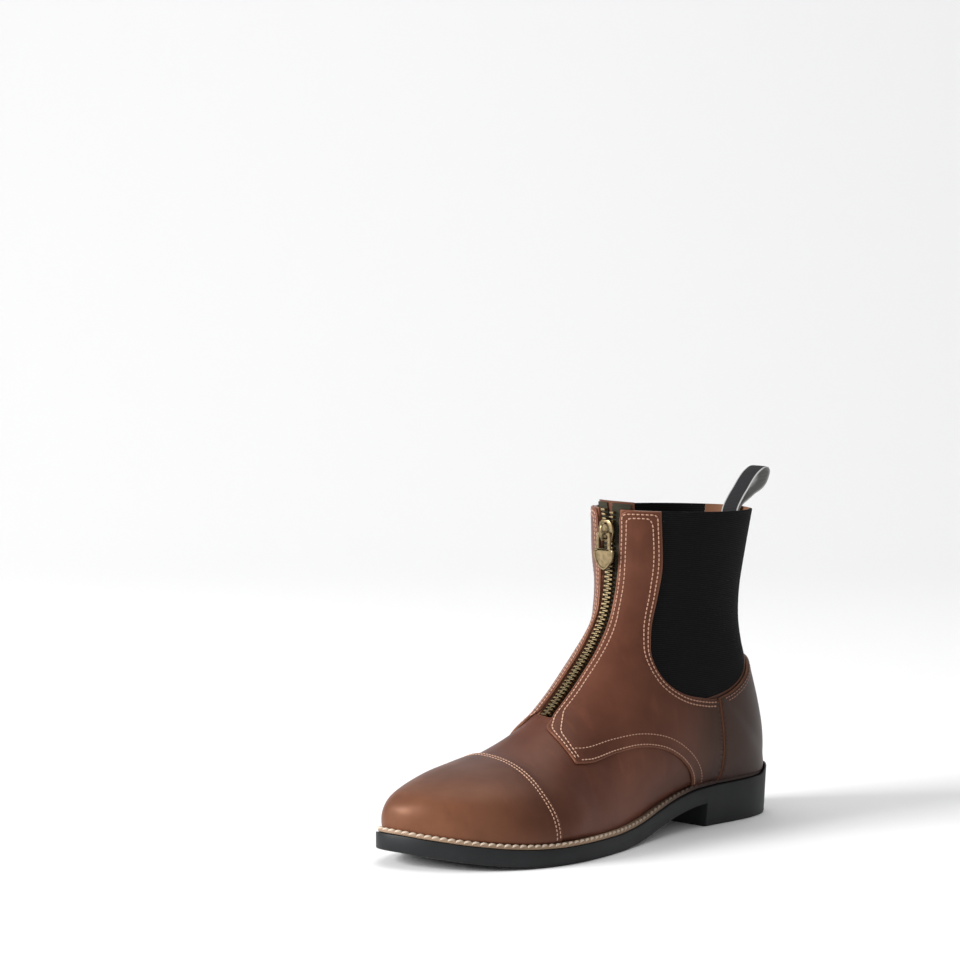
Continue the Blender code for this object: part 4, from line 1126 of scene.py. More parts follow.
def softened_heel(grid):
    """The surface with the low back corners of the heel smoothed, faded out forwards and upwards."""
    along, z = np.moveaxis(side_of(grid), -1, 0)
    share = (1 - ease((along - 0.045) / 0.030)) * (1 - ease((z - 0.080) / 0.030))
    return grid + (smoothed(grid, 40) - grid) * share[..., None]


def build_base_fields():
    """Signed distances on the surface grid that the pieces share, positive where a piece lies.

    In a round corner the distance is its radius, less the hypotenuse of the two edges' shortfalls from it.
    """
    flat = side_of(GRID)
    line = front_line()
    k = np.argmin(np.linalg.norm(line - np.array(side_points([ZIP_END])[0]), axis=1))
    up = (line[k + 3] - line[k - 3]) / np.linalg.norm(line[k + 3] - line[k - 3])
    below = -((flat - line[k]) @ up)
    near_front = np.abs(np.arange(COLUMNS) - AROUND) < AROUND * 0.45
    beside = np.where(near_front, np.abs(GRID[..., 0]) - zip_edge(LEATHER_EDGE, GRID[..., 2]), FAR)
    step = np.linalg.norm(np.diff(GRID, axis=0), axis=2)
    to_collar = np.vstack([np.cumsum(step[::-1], axis=0)[::-1], np.zeros((1, COLUMNS))])
    quarter = outline_field(flat, quarter_outline())
    turn = LOW_CORNER - np.hypot(LOW_CORNER - beside, LOW_CORNER - quarter)
    short = np.hypot(np.maximum(TOP_CORNER - beside, 0), np.maximum(TOP_CORNER - to_collar, 0))
    return {
        "throat": np.where(near_front, np.maximum(beside, below), FAR),
        "collar": to_collar,
        "corner": TOP_CORNER - short,
        "cap": outline_field(flat, cap_outline()),
        "quarter": np.where(np.maximum(beside, quarter) < LOW_CORNER, turn, quarter),
        "counter": outline_field(flat, counter_outline()),
        "gore": outline_field(flat, gore_line()),
        "elastic": outline_field(flat, offset_line(gore_line(), ELASTIC_TRIM, closed=True)),
    }


def fine_line(table):
    """Side view curve through a table of shares."""
    return smooth_line(side_points(table), per_span=8)


def gore_line():
    """Closed outline of a gore's opening: its front edge, then its back edge."""
    return np.vstack([fine_line(GORE_FRONT), fine_line(GORE_BACK)[1:]])


def cap_outline():
    """Outline of the cap: its line, closed beyond the toe."""
    line = fine_line(CAP_LINE)
    toe = SOLE_LENGTH + BEYOND
    return np.vstack([line, [(toe, line[-1][1]), (toe, line[0][1])]])


def quarter_outline():
    """Outline of a quarter: front edge, arch, seam and the gore's edge with its overlap, closed on top."""
    back = fine_line(GORE_FRONT[1:])
    over = 1.2 * COLLAR_FRONT_HEIGHT
    return np.vstack([
        fine_line(QUARTER_FRONT),
        fine_line(QUARTER_ARCH)[1:],
        fine_line(SEAM_LINE),
        offset_line(back[::-1], LEATHER / 2, False),
        [(back[0][0], over), (ZIP_END[0] * SOLE_LENGTH, over)],
    ])


def counter_outline():
    """Outline of the counter: the seam less its gap, the top edge, closed behind the heel."""
    seam = fine_line(SEAM_LINE)
    return np.vstack([
        seam - (GAP, 0),
        fine_line(COUNTER_TOP)[1:],
        [(-BEYOND, 0.5 * COLLAR_BACK_HEIGHT), (-BEYOND, 0.0), (seam[0][0] - GAP, 0.0)],
    ])


def build_leather():
    """Wall, cap, quarters, counter and elastic, each a closed shell."""
    to_collar = FIELDS["collar"] + 1e-5
    wall = leather_piece("upper_shown", [FIELDS["throat"], -FIELDS["gore"], to_collar], -WALL, 0.0,
                         FINISH["leather"], drop=0.0003)
    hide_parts("upper")
    cap = leather_piece("toe_cap_shown", [FIELDS["cap"]], GAP, GAP + LEATHER, FINISH["leather"],
                        rows=slice(0, CAP_LAST_ROW), groove=CAP_SEAMS)
    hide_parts("toe_cap")
    for name, columns in (("outer", slice(AROUND, COLUMNS)), ("inner", slice(0, AROUND + 1))):
        quarter = leather_piece(f"quarter_{name}_shown", [FIELDS["quarter"], FIELDS["corner"]], GAP,
                                GAP + LEATHER, FINISH["leather"], columns=columns, groove=QUARTER_SEAMS)
        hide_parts(f"quarter_{name}")
        panel = leather_piece(f"gore_{name}_shown", [FIELDS["elastic"], to_collar],
                              -ELASTIC_RECESS - ELASTIC, -ELASTIC_RECESS, FINISH["elastic"],
                              columns=columns, edge=0.0004, drop=0.0002)
        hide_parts(f"gore_{name}")
    counter = leather_piece("counter_shown", [FIELDS["counter"]], GAP, GAP + COUNTER_LEATHER,
                            FINISH["leather"], drop=0.0007, edge=0.0009)
    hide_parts("counter")


def raised(columns, rise):
    """The surface round the ridge, run on above the collar by rise in its last direction."""
    grid, normal = GRID[:, columns], NORMAL[:, columns]
    step = grid[-1] - grid[-3]
    step /= np.linalg.norm(step, axis=1)[:, None]
    more = [grid[-1] + step * rise * share for share in (0.33, 0.66, 1.0)]
    return np.concatenate([grid, more]), np.concatenate([normal, np.repeat(normal[-1:], 3, axis=0)])


def strip_piece(name, half_width, low, high, rise, finish, notched=False):
    """Strip behind the zip: the raised surface within a half width, as a closed shell.

    A notched strip is left out between the inner edges of the parted teeth.
    """
    grid, normal = raised(slice(AROUND - STRIP_COLUMNS, AROUND + STRIP_COLUMNS + 1), rise)
    start = at_share(front_line(), ZIP_SHARE - STRIP_UNDERLAP)[0]
    first = np.searchsorted(GRID[:, AROUND, 1] - HALF, -start)
    grid, normal = grid[first:], normal[first:]
    x, z = np.abs(grid[..., 0]), grid[..., 2]
    fields = [(half_width or zip_edge(TAPE_EDGE, z)) - x]
    if notched:
        fields.append(x - zip_edge(NOTCH_EDGE, z) + 1e-4)
    fields = [field.reshape(-1, 1) for field in fields]
    data = np.hstack([grid.reshape(-1, 3), normal.reshape(-1, 3), np.zeros((x.size, 1)), *fields])
    faces = grid_faces(*x.shape)
    for k in range(FIRST_FIELD, data.shape[1]):
        data, faces = split(data, faces, k, 0.0, False)
    data, faces = merged(data, faces)
    points, faces = shell(*(data[:, 0:3] + data[:, 3:6] * level for level in (high, low)), faces)
    return new_object(name, points, faces, finish)


def ridge_frames(shares):
    """Places on the ridge at shares of the front profile, and the directions up the profile there."""
    line = front_line()
    ahead = at_share(line, np.minimum(shares + 0.002, 1.0))
    behind = at_share(line, shares - 0.002)
    up = (ahead - behind) / np.linalg.norm(ahead - behind, axis=1)[:, None]
    return at_share(line, shares), up


def build_strips():
    """Tape behind the zip, left out between the parted teeth, and the guard behind it."""
    tape = strip_piece("zip_tape_shown", None, TAPE_TOP - ZIP_TAPE, TAPE_TOP, TAPE_RISE, FINISH["tape"],
                       notched=True)
    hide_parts("zip_tape")
    top = TAPE_TOP - ZIP_TAPE - GAP
    guard = strip_piece("zip_guard_shown", GUARD_WIDTH / 2, top - LEATHER, top, GUARD_RISE, FINISH["guard"])
    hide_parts("zip_guard")


def build_teeth():
    """Single teeth, left and right in turn: each widens from the chain's inner edge to its outer edge.

    Where the chain is closed a tooth reaches past the middle by TOOTH_REACH.
    """
    length = length_of(front_line())
    first = ZIP_SHARE + 0.004
    count = int((1 - first) * length / TOOTH_PITCH)
    shares = first + np.arange(count + 2) * TOOTH_PITCH / length
    places, directions = ridge_frames(shares[shares < 1.0])
    half = TOOTH_PITCH * 0.36
    parts = []
    for k, ((along, z), (ahead, up)) in enumerate(zip(places, directions)):
        side = 1 if k % 2 else -1
        frame_of = ((0, HALF - along, z), (side, 0, 0), (0, -ahead, up), (0, -up, -ahead))
        inner, outer = zip_edge(NOTCH_EDGE, z), zip_edge(CHAIN_EDGE, z)
        reach = inner - (TOOTH_REACH if inner < 1e-5 else 0.0)
        box = [(reach, -half), (outer, -half * 1.5), (outer, half * 1.5), (reach, half)]
        parts.append(solid(box, frame_of, TAPE_TOP, TAPE_TOP + GAP + ZIP_TEETH, 0.0003))
    points, faces = joined(parts)
    teeth = new_object("zip_teeth_shown", points, faces, FINISH["brass"], smooth_angle=35)
    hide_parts("zip_teeth")


def zip_frame(drop):
    """Frame on the front profile at a distance below the collar: across, up the profile and outwards."""
    line = front_line()
    length = length_of(line)
    low, high = at_share(line, [1 - (drop + 0.002) / length, 1 - (drop - 0.002) / length])
    up = (high - low) / np.linalg.norm(high - low)
    middle = (low + high) / 2
    frame_of = (0, HALF - middle[0], middle[1]), (1, 0, 0), (0, -up[0], up[1]), (0, -up[1], -up[0])
    return tuple(np.array(v, float) for v in frame_of)


def chamfered(half, top, bottom, corner):
    """Rectangle about the up axis with its four corners cut."""
    right = [(half - corner, top), (half, top - corner), (half, bottom + corner), (half - corner, bottom)]
    return right + [(-x, y) for x, y in reversed(right)]


def build_slider_shown():
    """Slider: a flat solid of its outline, and its bridge, a bar along a curve from end to end of it."""
    place, across, up, out = frame_of = zip_frame(SLIDER_DROP)
    w, h = SLIDER_WIDTH / 2, SLIDER_LENGTH / 2
    half = [(0.45 * w, h), (0.8 * w, 0.75 * h), (w, 0.2 * h), (w, -0.1 * h), (0.72 * w, -h)]
    outline = half + [(-x, y) for x, y in reversed(half)]
    plate = solid(outline, frame_of, SLIDER_LOW, SLIDER_HIGH, 0.0004)
    foot, crest, bar, reach = SLIDER_LOW + 0.0004, SLIDER_HIGH + BRIDGE_HEIGHT, BRIDGE_BAR, BRIDGE_LENGTH / 2
    middle = bar / 2
    line = smooth_line([
        (foot, -reach + middle),
        (crest - 2.2 * bar, -reach + middle),
        (crest - middle, 1.6 * bar - reach),
        (crest - middle, reach - 1.6 * bar),
        (crest - 2.2 * bar, reach - middle),
        (foot, reach - middle),
    ], per_span=5)
    step = np.gradient(line, axis=0)
    step /= np.linalg.norm(step, axis=1)[:, None]
    path = place + out * line[:, :1] + up * line[:, 1:]
    thick = out * -step[:, 1:] + up * step[:, :1]
    bridge = round_bar(path, np.tile(across, (len(path), 1)), thick, BRIDGE_WIDTH / 2, bar / 2, closed=False)
    points, faces = joined([plate, bridge])
    slider = new_object("zip_slider_shown", points, faces, FINISH["brass"], smooth_angle=40)
    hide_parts("zip_slider")


def link_shape(frame_of):
    """Link: rings round its bar, between the outer outline and the window, with broken edges."""
    half, top, bottom = LINK_WIDTH / 2, CROSS_BAR / 2, -LINK_LENGTH - 0.0012
    outer = np.array(chamfered(half, top, bottom, 0.0009))
    inner = np.array(chamfered(half - LINK_BAR, -top, -LINK_LENGTH, 0.0004))
    thick, bevel = PULL_THICKNESS / 2, 0.0003
    share = bevel / LINK_BAR
    outer_in, inner_out = outer + (inner - outer) * share, inner + (outer - inner) * share
    loops = (
        (outer, bevel - thick),
        (outer, thick - bevel),
        (outer_in, thick),
        (inner_out, thick),
        (inner, thick - bevel),
        (inner, bevel - thick),
        (inner_out, -thick),
        (outer_in, -thick),
    )
    return ring_stack([ring_at(frame_of, loop, level) for loop, level in loops], closed=True)


def shield_shape(frame_of):
    """Plain shield with a raised rim: its outline at several scales and levels."""
    outline = [(x * SHIELD_WIDTH / 2, -LINK_LENGTH - y * SHIELD_LENGTH) for x, y in SHIELD]
    edge = smooth_line(outline, per_span=4)
    ring = np.vstack([edge, (edge[:-1] * (-1, 1))[::-1]])
    middle = ring.mean(axis=0)
    rings = [ring_at(frame_of, middle + (ring - middle) * scale, PULL_THICKNESS / 2 * level)
             for scale, level in SHIELD_RINGS]
    return ring_stack(rings)


def build_pull_shown():
    """Pull: the link and the shield, hanging plumb from the hinge in the slider's bridge."""
    place, _, up, out = zip_frame(SLIDER_DROP)
    hinge = place + out * (SLIDER_HIGH + (BRIDGE_HEIGHT - BRIDGE_BAR) / 2) - up * HINGE_DROP
    hang = (hinge, (1, 0, 0), (0, 0, 1), (0, -1, 0))
    points, faces = joined([link_shape(hang), shield_shape(hang)])
    pull = new_object("zip_pull_shown", points, faces, FINISH["brass"], body="pull_tab", smooth_angle=40)
    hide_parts("zip_pull")


def build_loop_shown():
    """Woven tape: a ribbon with rounded edges swept up inside the collar, round the loop and down again."""
    back = back_line()
    level = np.linspace(COLLAR_BACK_HEIGHT - LOOP_DEPTH, COLLAR_BACK_HEIGHT - 2 * LOOP_TAPE, 10)
    shaft = back[-60:][np.argsort(back[-60:, 1])]
    wall = np.stack([np.interp(level, shaft[:, 1], shaft[:, 0]), level], -1)
    near = WALL + LOOP_CLEARANCE
    edge = back[-1]
    face = np.array([(edge[0] - b * LOOP_HEIGHT, edge[1] + u * LOOP_HEIGHT) for b, u in LOOP_FACE])
    middle = smooth_line(np.vstack([
        offset_line(wall, near + LOOP_TAPE * 0.55, False)[::3],
        offset_line(smooth_line(face, per_span=6), LOOP_TAPE / 2, False)[6:-6:4],
        offset_line(wall, near + LOOP_TAPE * 1.6, False)[::-1][::3],
    ]), per_span=6)
    step = np.gradient(middle, axis=0)
    step /= np.linalg.norm(step, axis=1)[:, None]
    none = np.zeros(len(middle))
    path = np.stack([none, HALF - middle[:, 0], middle[:, 1]], -1)
    out = np.stack([none, -step[:, 1], -step[:, 0]], -1)
    across = np.tile((1.0, 0.0, 0.0), (len(path), 1))
    points, faces = round_bar(path, across, out, LOOP_TAPE_WIDTH / 2, LOOP_TAPE * 0.46, closed=False)
    gone = gone_along(middle)
    marks = {
        "run_mm": np.concatenate([np.repeat(gone, len(BAR_CORNERS)), gone[[0, -1]]]) * 1000,
        "face": np.concatenate([np.tile(BAR_CORNERS[:, 1], len(gone)), [0, 0]]),
    }
    loop = new_object("pull_loop_shown", points, faces, FINISH["webbing"], attributes=marks)
    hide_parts("pull_loop")


def sole_stations():
    """Stations along the sole, with the heel's breast doubled."""
    even = HALF * (1 - np.cos(np.linspace(0, math.pi, 130)))
    even = even[np.abs(even - HEEL_LENGTH) > 6e-4]
    stations = np.sort(np.concatenate([even, [HEEL_LENGTH, HEEL_LENGTH]]))
    return stations, int(np.searchsorted(stations, HEEL_LENGTH))


def sole_ring(line, stations):
    """Outer and inner side of a closed outline at stations stretched to its own ends."""
    low, high = line[:, 1].min(), line[:, 1].max()
    along = low + stations / SOLE_LENGTH * (high - low)
    outer, inner = half_widths(line, along)
    outer[0] = inner[0] = (outer[0] + inner[0]) / 2
    outer[-1] = inner[-1] = (outer[-1] + inner[-1]) / 2
    return along, outer, inner


def wrap(along, outer, inner, height):
    """Closed ring of points from the heel along the outer side to the toe and back."""
    right = np.stack([outer, HALF - along, height], -1)
    left = np.stack([inner, HALF - along, height], -1)
    return np.vstack([right, left[-2:0:-1]])


def strip_cap(count, size, base):
    """Triangles that close a ring of size points whose sides face each other at count stations."""
    k = np.arange(count - 1)
    a, b = base + k, base + k + 1
    c, d = base + (size - k) % size, base + (size - k - 1) % size
    d[-1] = b[-1]
    return whole(np.stack([a, b, d, a, d, c], -1).reshape(-1, 3))


def build_outsole_shown():
    """Outsole and heel in one, its rim rounded above and below, with a low lip round the heel's back."""
    stations, block = sole_stations()
    heel = np.arange(len(stations)) <= block
    inset = 1 - HEEL_TAPER / (HEEL_WIDTH / 2)
    middle = HEEL_LENGTH / 2
    rings = []
    for reach, is_top, lift, lip in SOLE_RINGS:
        along, outer, inner = sole_ring(reach_line(HEEL_RIM_REACH + reach, WELT_REACH + reach), stations)
        if is_top:
            fade = 1 - ease((along - LIP_FADE_FROM) / (LIP_LENGTH - LIP_FADE_FROM))
            height = underside(along) + SOLE_THICKNESS + lift + lip * LIP_HEIGHT * fade
        else:
            height = np.where(heel, 0.0, underside(along)) + lift
            outer, inner = np.where(heel, outer * inset, outer), np.where(heel, inner * inset, inner)
            drawn_in = middle + (along - middle) * (1 - HEEL_TAPER / middle)
            along = np.where(heel & (along < middle), drawn_in, along)
        rings.append(wrap(along, outer, inner, height))
    count, size = len(stations), len(rings[0])
    faces = np.vstack([
        ring_faces(len(rings), size),
        strip_cap(count, size, 0),
        strip_cap(count, size, (len(rings) - 1) * size),
    ])
    sole = new_object("outsole_shown", np.vstack(rings), faces, FINISH["rubber"], smooth_angle=40)
    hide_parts("outsole")


def welt_ring(line, stations, lift):
    """Ring of points along a closed outline, at a height above the sole's top."""
    along, outer, inner = sole_ring(line, stations)
    return wrap(along, outer, inner, underside(along) + SOLE_THICKNESS + lift)


def build_welt_shown():
    """Welt: a ring under the upper's edge, its outer edge rounded, with thick stitches sunk into it."""
    stations = np.unique(sole_stations()[0])
    rings = []
    for reach, lift in WELT_RINGS:
        if reach is None:
            line = reach_line(-WELT_UNDERLAP, -WELT_UNDERLAP)
        else:
            line = reach_line(HEEL_WELT_REACH + reach, WELT_REACH - WELT_SETBACK + reach)
        rings.append(welt_ring(line, stations, lift))
    points, faces = ring_stack(rings, closed=True)
    welt = new_object("welt_shown", points, faces, FINISH["welt"], smooth_angle=40)
    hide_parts("welt")
    ring = welt_ring(reach_line(0.0001, 0.0030), stations, WELT_TOP)
    ring = np.vstack([ring, ring[:1]])
    path = (ring, np.tile((0.0, 0.0, 1.0), (len(ring), 1)))
    stitches("welt_stitches", [(path, 0.0, *WELT_THREAD, 0.8, 0.32)], FINISH["welt_thread"])


def inwards(line, distance, backwards):
    """The line moved sideways: towards the heel for one of the quarter's end edges, or upwards for the arch.

    The gore's edge moves towards the toe, because the quarter lies before it.
    """
    moved = offset_line(line, distance, False)
    other = offset_line(line, -distance, False)
    k = len(line) // 2
    if not backwards:
        return moved if moved[k, 1] > other[k, 1] else other
    toe = line[k, 0] < 0.5 * SOLE_LENGTH
    return moved if (moved[k, 0] > other[k, 0]) == toe else other


def rounded(path):
    """The path with its turns eased by averaging each point with its neighbours, a few times."""
    places, normals = path
    gone = gone_along(places)
    even = np.linspace(0, gone[-1], int(gone[-1] / 0.0005) + 2)
    places, normals = read_off(even, gone, places), read_off(even, gone, normals)
    for _ in range(14):
        places[1:-1] = (places[:-2] + places[1:-1] + places[2:]) / 3
    return places, normals


def quarter_seam(side, inset):
    """Path of a row of stitches round a quarter: up its low corner and the zip, back and down the gore."""
    foot = side_points([ZIP_END])[0][1] + inset * 1.1 - 0.0012
    z = np.linspace(foot, COLLAR_FRONT_HEIGHT - 0.0012 - inset, 70)
    up_zip = front_path(np.stack([side * (zip_edge(LEATHER_EDGE, z) + inset), z], -1))
    corner = inwards(fine_line(QUARTER_FRONT), inset, True)[2 + int(inset * 1200):-2]
    gore = inwards(fine_line((*GORE_FRONT[1:], (0.2370, 0.4165))), inset + LEATHER / 2, True)
    near = side_of(GRID[-1])[side * GRID[-1, :, 0] > 0]
    near = near[np.argsort(near[:, 0])]
    collar = np.interp(gore[0, 0], near[:, 0], near[:, 1])
    gore = gore[gore[:, 1] < collar - inset - 0.0008]
    columns = range(COLUMNS)[::-1] if side > 0 else range(COLUMNS)
    places, normals = level_path(FIELDS["collar"], inset + 0.0004, columns)
    picked = side * places[:, 0] > zip_edge(LEATHER_EDGE, COLLAR_FRONT_HEIGHT) + inset + 0.0012
    picked &= HALF - places[:, 1] > gore[0, 0] + 0.0012
    across = (places[picked][::-1], normals[picked][::-1])
    return rounded(join_paths(side_path(corner[::-1], side), up_zip, across, side_path(gore, side)))


def build_stitches():
    """Rows of thread on the quarters, cap and counter."""
    top = GAP + LEATHER - 0.00005
    rows = []
    for side in (1, -1):
        rows += [(quarter_seam(side, inset), top, *QUARTER_THREAD) for inset in QUARTER_SEAMS]
        for inset in ARCH_SEAMS:
            arch = inwards(fine_line(QUARTER_ARCH), inset, False)[3:-1]
            rows.append((side_path(arch, side), top, *ARCH_THREAD))
    for inset in CAP_SEAMS:
        rows.append((level_path(FIELDS["cap"], inset, range(2, COLUMNS - 2)), top, *CAP_THREAD))
    stitches("stitches_quarters_cap", rows, FINISH["thread"])
    rows = []
    for inset in COUNTER_SEAMS:
        for columns in (range(AROUND), range(COLUMNS - 1, AROUND, -1)):
            places, normals = level_path(FIELDS["counter"], inset, columns, from_collar=True)
            high = places[:, 2] > 0.385 * COLLAR_BACK_HEIGHT
            path = (places[high], normals[high])
            rows.append((path, GAP + COUNTER_LEATHER - 0.0001, *COUNTER_THREAD))
    # The counter's stitches take a darker copy of the thread, painted shade on the counter.
    stitches("stitches_counter", rows, FINISH["shaded_thread"])


def put(tree, kind, **values):
    """Node with its settings, and its inputs given as in_ and their number or name."""
    made = tree.nodes.new(kind)
    for key, value in values.items():
        if not key.startswith("in_"):
            setattr(made, key, value)
            continue
        name = key[3:]
        socket = made.inputs[int(name)] if name.isdigit() else made.inputs[name.replace("_", " ")]
        if hasattr(value, "is_output"):
            tree.links.new(value, socket)
        else:
            socket.default_value = value
    return made


def ramp(tree, value, *stops):
    """Colour ramp with stops (position, colour)."""
    made = put(tree, "ShaderNodeValToRGB", in_0=value)
    while len(made.color_ramp.elements) < len(stops):
        made.color_ramp.elements.new(0.5)
    for element, (position, colour) in zip(made.color_ramp.elements, stops):
        element.position = position
        element.color = (*colour, 1.0)
    return made.outputs[0]


def mix(tree, share, first, second, kind="MIX"):
    """Two colours mixed by a share."""
    colours = [value if hasattr(value, "is_output") else (*value, 1.0) for value in (first, second)]
    made = put(tree, "ShaderNodeMix", data_type="RGBA", blend_type=kind, in_0=share, in_6=colours[0],
               in_7=colours[1])
    return made.outputs[2]


def maths(tree, kind, a, b=0.0):
    """Result of one arithmetic step."""
    return put(tree, "ShaderNodeMath", operation=kind, in_0=a, in_1=b).outputs[0]


def noise(tree, where, scale, detail=2.0, **more):
    """Noise at a place, between 0 and 1."""
    made = put(tree, "ShaderNodeTexNoise", in_Vector=where, in_Scale=scale, in_Detail=detail, **more)
    return made.outputs[0]


def own_place(tree):
    """Place on the piece in its own coordinates."""
    return put(tree, "ShaderNodeTexCoord").outputs["Object"]


def mark(tree, name):
    """Value of a mark that the mesh carries at its points."""
    return put(tree, "ShaderNodeAttribute", attribute_name=name).outputs["Fac"]


def leather_group():
    """Leather effects: soft patches, fine grain as a height, the share from heel to toe, and wear."""
    group = bpy.data.node_groups.new("leather_effects", "ShaderNodeTree")
    for name in ("patches", "grain", "toe_share", "wear"):
        group.interface.new_socket(name, in_out="OUTPUT", socket_type="NodeSocketFloat")
    out = group.nodes.new("NodeGroupOutput")
    where = own_place(group)
    patches = noise(group, where, 26.0, 4.0, in_Roughness=0.55)
    fine = put(group, "ShaderNodeTexVoronoi", in_Vector=where, in_Scale=1500.0)
    pore = noise(group, where, 900.0)
    xyz = put(group, "ShaderNodeSeparateXYZ", in_0=where)
    toe = put(group, "ShaderNodeMapRange", in_0=xyz.outputs[1], in_1=0.10, in_2=-0.13)
    stretch = put(group, "ShaderNodeMapping", in_Vector=where, in_Scale=(60.0, 140.0, 45.0))
    wear = noise(group, stretch.outputs[0], 1.0, 3.0)
    height = maths(group, "ADD", maths(group, "MULTIPLY", fine.outputs[0], 0.5), pore)
    for k, socket in enumerate((patches, height, toe.outputs[0], wear)):
        group.links.new(socket, out.inputs[k])
    return group


def weave_group():
    """Fine ribs across the elastic and the tape: a sine of the height over the pitch, and some noise."""
    group = bpy.data.node_groups.new("ribs", "ShaderNodeTree")
    group.interface.new_socket("pitch", in_out="INPUT", socket_type="NodeSocketFloat")
    group.interface.new_socket("height", in_out="OUTPUT", socket_type="NodeSocketFloat")
    source = group.nodes.new("NodeGroupInput")
    out = group.nodes.new("NodeGroupOutput")
    where = own_place(group)
    xyz = put(group, "ShaderNodeSeparateXYZ", in_0=where)
    turn = maths(group, "DIVIDE", xyz.outputs[2], source.outputs[0])
    wave = maths(group, "SINE", maths(group, "MULTIPLY", turn, 2 * math.pi))
    group.links.new(maths(group, "ADD", wave, noise(group, where, 700.0)), out.inputs[0])
    return group


def finish_of(name, rough, metal=0.0, specular=0.5):
    """New material with its tree and shader; colour, roughness and normal are linked by the caller."""
    made = bpy.data.materials.new(name)
    made.use_nodes = True
    tree = made.node_tree
    shader = tree.nodes["Principled BSDF"]
    shader.inputs["Roughness"].default_value = rough
    shader.inputs["Metallic"].default_value = metal
    shader.inputs["Specular IOR Level"].default_value = specular
    return made, tree, shader


def bump(tree, shader, height, strength, distance):
    """Height as a bump on the shader's normal."""
    made = put(tree, "ShaderNodeBump", in_Height=height, in_Strength=strength, in_Distance=distance)
    tree.links.new(made.outputs[0], shader.inputs["Normal"])


def leather_finish(name, group, painted_shade, rough):
    """Leather: dark at the heel and over the vamp as painted shade, lighter about the quarters as painted
    light, red brown at the toe partly of its own and partly painted light, mottled and worn, with raw edges
    and a tan back.
    """
    made, tree, shader = finish_of(name, rough, specular=0.42)
    shader.inputs["Specular Tint"].default_value = (1.0, 0.56, 0.38, 1.0)
    effects = put(tree, "ShaderNodeGroup", node_tree=group).outputs
    # Colour from the heel (0) to the toe (1): the near-black heel stops are painted shade on the counter, the
    # stop at 0.45 is painted light on the quarters, the vamp stops are painted shade, and the toe's red brown
    # is partly the leather's own warmer tone, partly painted light.
    along = ramp(
        tree, effects[2],
        (0.0, (0.009, 0.0036, 0.0026)),
        (0.15, (0.022, 0.0080, 0.0056)),
        (0.30, (0.095, 0.0330, 0.0200)),
        (0.45, (0.135, 0.0480, 0.0290)),
        (0.62, (0.090, 0.0290, 0.0180)),
        (0.78, (0.080, 0.0285, 0.0175)),
        (1.0, (0.148, 0.0590, 0.0310)),
    )
    dark = mix(tree, 1.0, along, (0.66, 0.62, 0.62), "MULTIPLY")
    colour = mix(tree, ramp(tree, effects[0], (0.38, BLACK), (0.66, WHITE)), dark, along)
    worn = ramp(tree, effects[3], (0.55, BLACK), (0.75, (0.35, 0.35, 0.35)))
    colour = mix(tree, worn, colour, mix(tree, 1.0, along, (1.45, 1.35, 1.3), "MULTIPLY"))
    raw = ramp(tree, mark(tree, "edge_mm"), (0.0, WHITE), (0.42, (0.5, 0.5, 0.5)), (0.75, BLACK))
    cut = mix(tree, 0.6, along, (0.30, 0.125, 0.075))
    colour = mix(tree, maths(tree, "MULTIPLY", raw, 0.55), colour, cut)
    colour = mix(tree, mark(tree, "under"), colour, (0.20, 0.095, 0.055))
    # Below 1 this darkens the whole colour as painted shade.
    if painted_shade != 1.0:
        colour = mix(tree, 1.0, colour, (painted_shade, painted_shade, painted_shade), "MULTIPLY")
    tree.links.new(colour, shader.inputs["Base Color"])
    gloss = put(tree, "ShaderNodeMapRange", in_0=effects[0], in_3=rough + 0.09, in_4=rough - 0.05)
    tree.links.new(gloss.outputs[0], shader.inputs["Roughness"])
    bump(tree, shader, effects[1], 0.10, 0.0002)
    return made


def ribbed_finish(name, group, rough, specular, pitch, low, high, strength, distance):
    """Ribbed cloth, from the colour low between the ribs to high on them; the darker colour between the ribs
    is painted shade in their hollows.
    """
    made, tree, shader = finish_of(name, rough, specular=specular)
    rib = put(tree, "ShaderNodeGroup", node_tree=group, in_0=pitch).outputs[0]
    tree.links.new(ramp(tree, rib, (0.0, low), (1.0, high)), shader.inputs["Base Color"])
    bump(tree, shader, rib, strength, distance)
    return made


def brass_finish():
    """Aged brass: darker and rougher in spots."""
    made, tree, shader = finish_of("brass", 0.34, metal=1.0)
    spots = noise(tree, own_place(tree), 420.0, 3.0)
    colour = ramp(tree, spots, (0.30, (0.145, 0.108, 0.058)), (0.70, (0.295, 0.225, 0.125)))
    tree.links.new(colour, shader.inputs["Base Color"])
    gloss = put(tree, "ShaderNodeMapRange", in_0=spots, in_3=0.46, in_4=0.28)
    tree.links.new(gloss.outputs[0], shader.inputs["Roughness"])
    return made


def rubber_finish():
    """Black rubber with soft spots and a fine grain."""
    made, tree, shader = finish_of("rubber", 0.5, specular=0.28)
    where = own_place(tree)
    spots = noise(tree, where, 55.0, 4.0)
    colour = ramp(tree, spots, (0.3, (0.0060, 0.0068, 0.0074)), (0.7, (0.0105, 0.0115, 0.0125)))
    tree.links.new(colour, shader.inputs["Base Color"])
    bump(tree, shader, noise(tree, where, 1400.0), 0.12, 0.0002)
    return made


def thread_finish(name, group, start, light, dark):
    """Thread and welt: dark from the heel up to the share start, light towards the toe; the dark heel end is
    painted shade.
    """
    made, tree, shader = finish_of(name, 0.62, specular=0.3)
    effects = put(tree, "ShaderNodeGroup", node_tree=group).outputs
    colour = ramp(tree, effects[2], (start, dark), (0.62, light), (1.0, light))
    colour = mix(tree, maths(tree, "MULTIPLY", effects[0], 0.3), colour, dark)
    tree.links.new(colour, shader.inputs["Base Color"])
    bump(tree, shader, effects[1], 0.15, 0.0002)
    return made


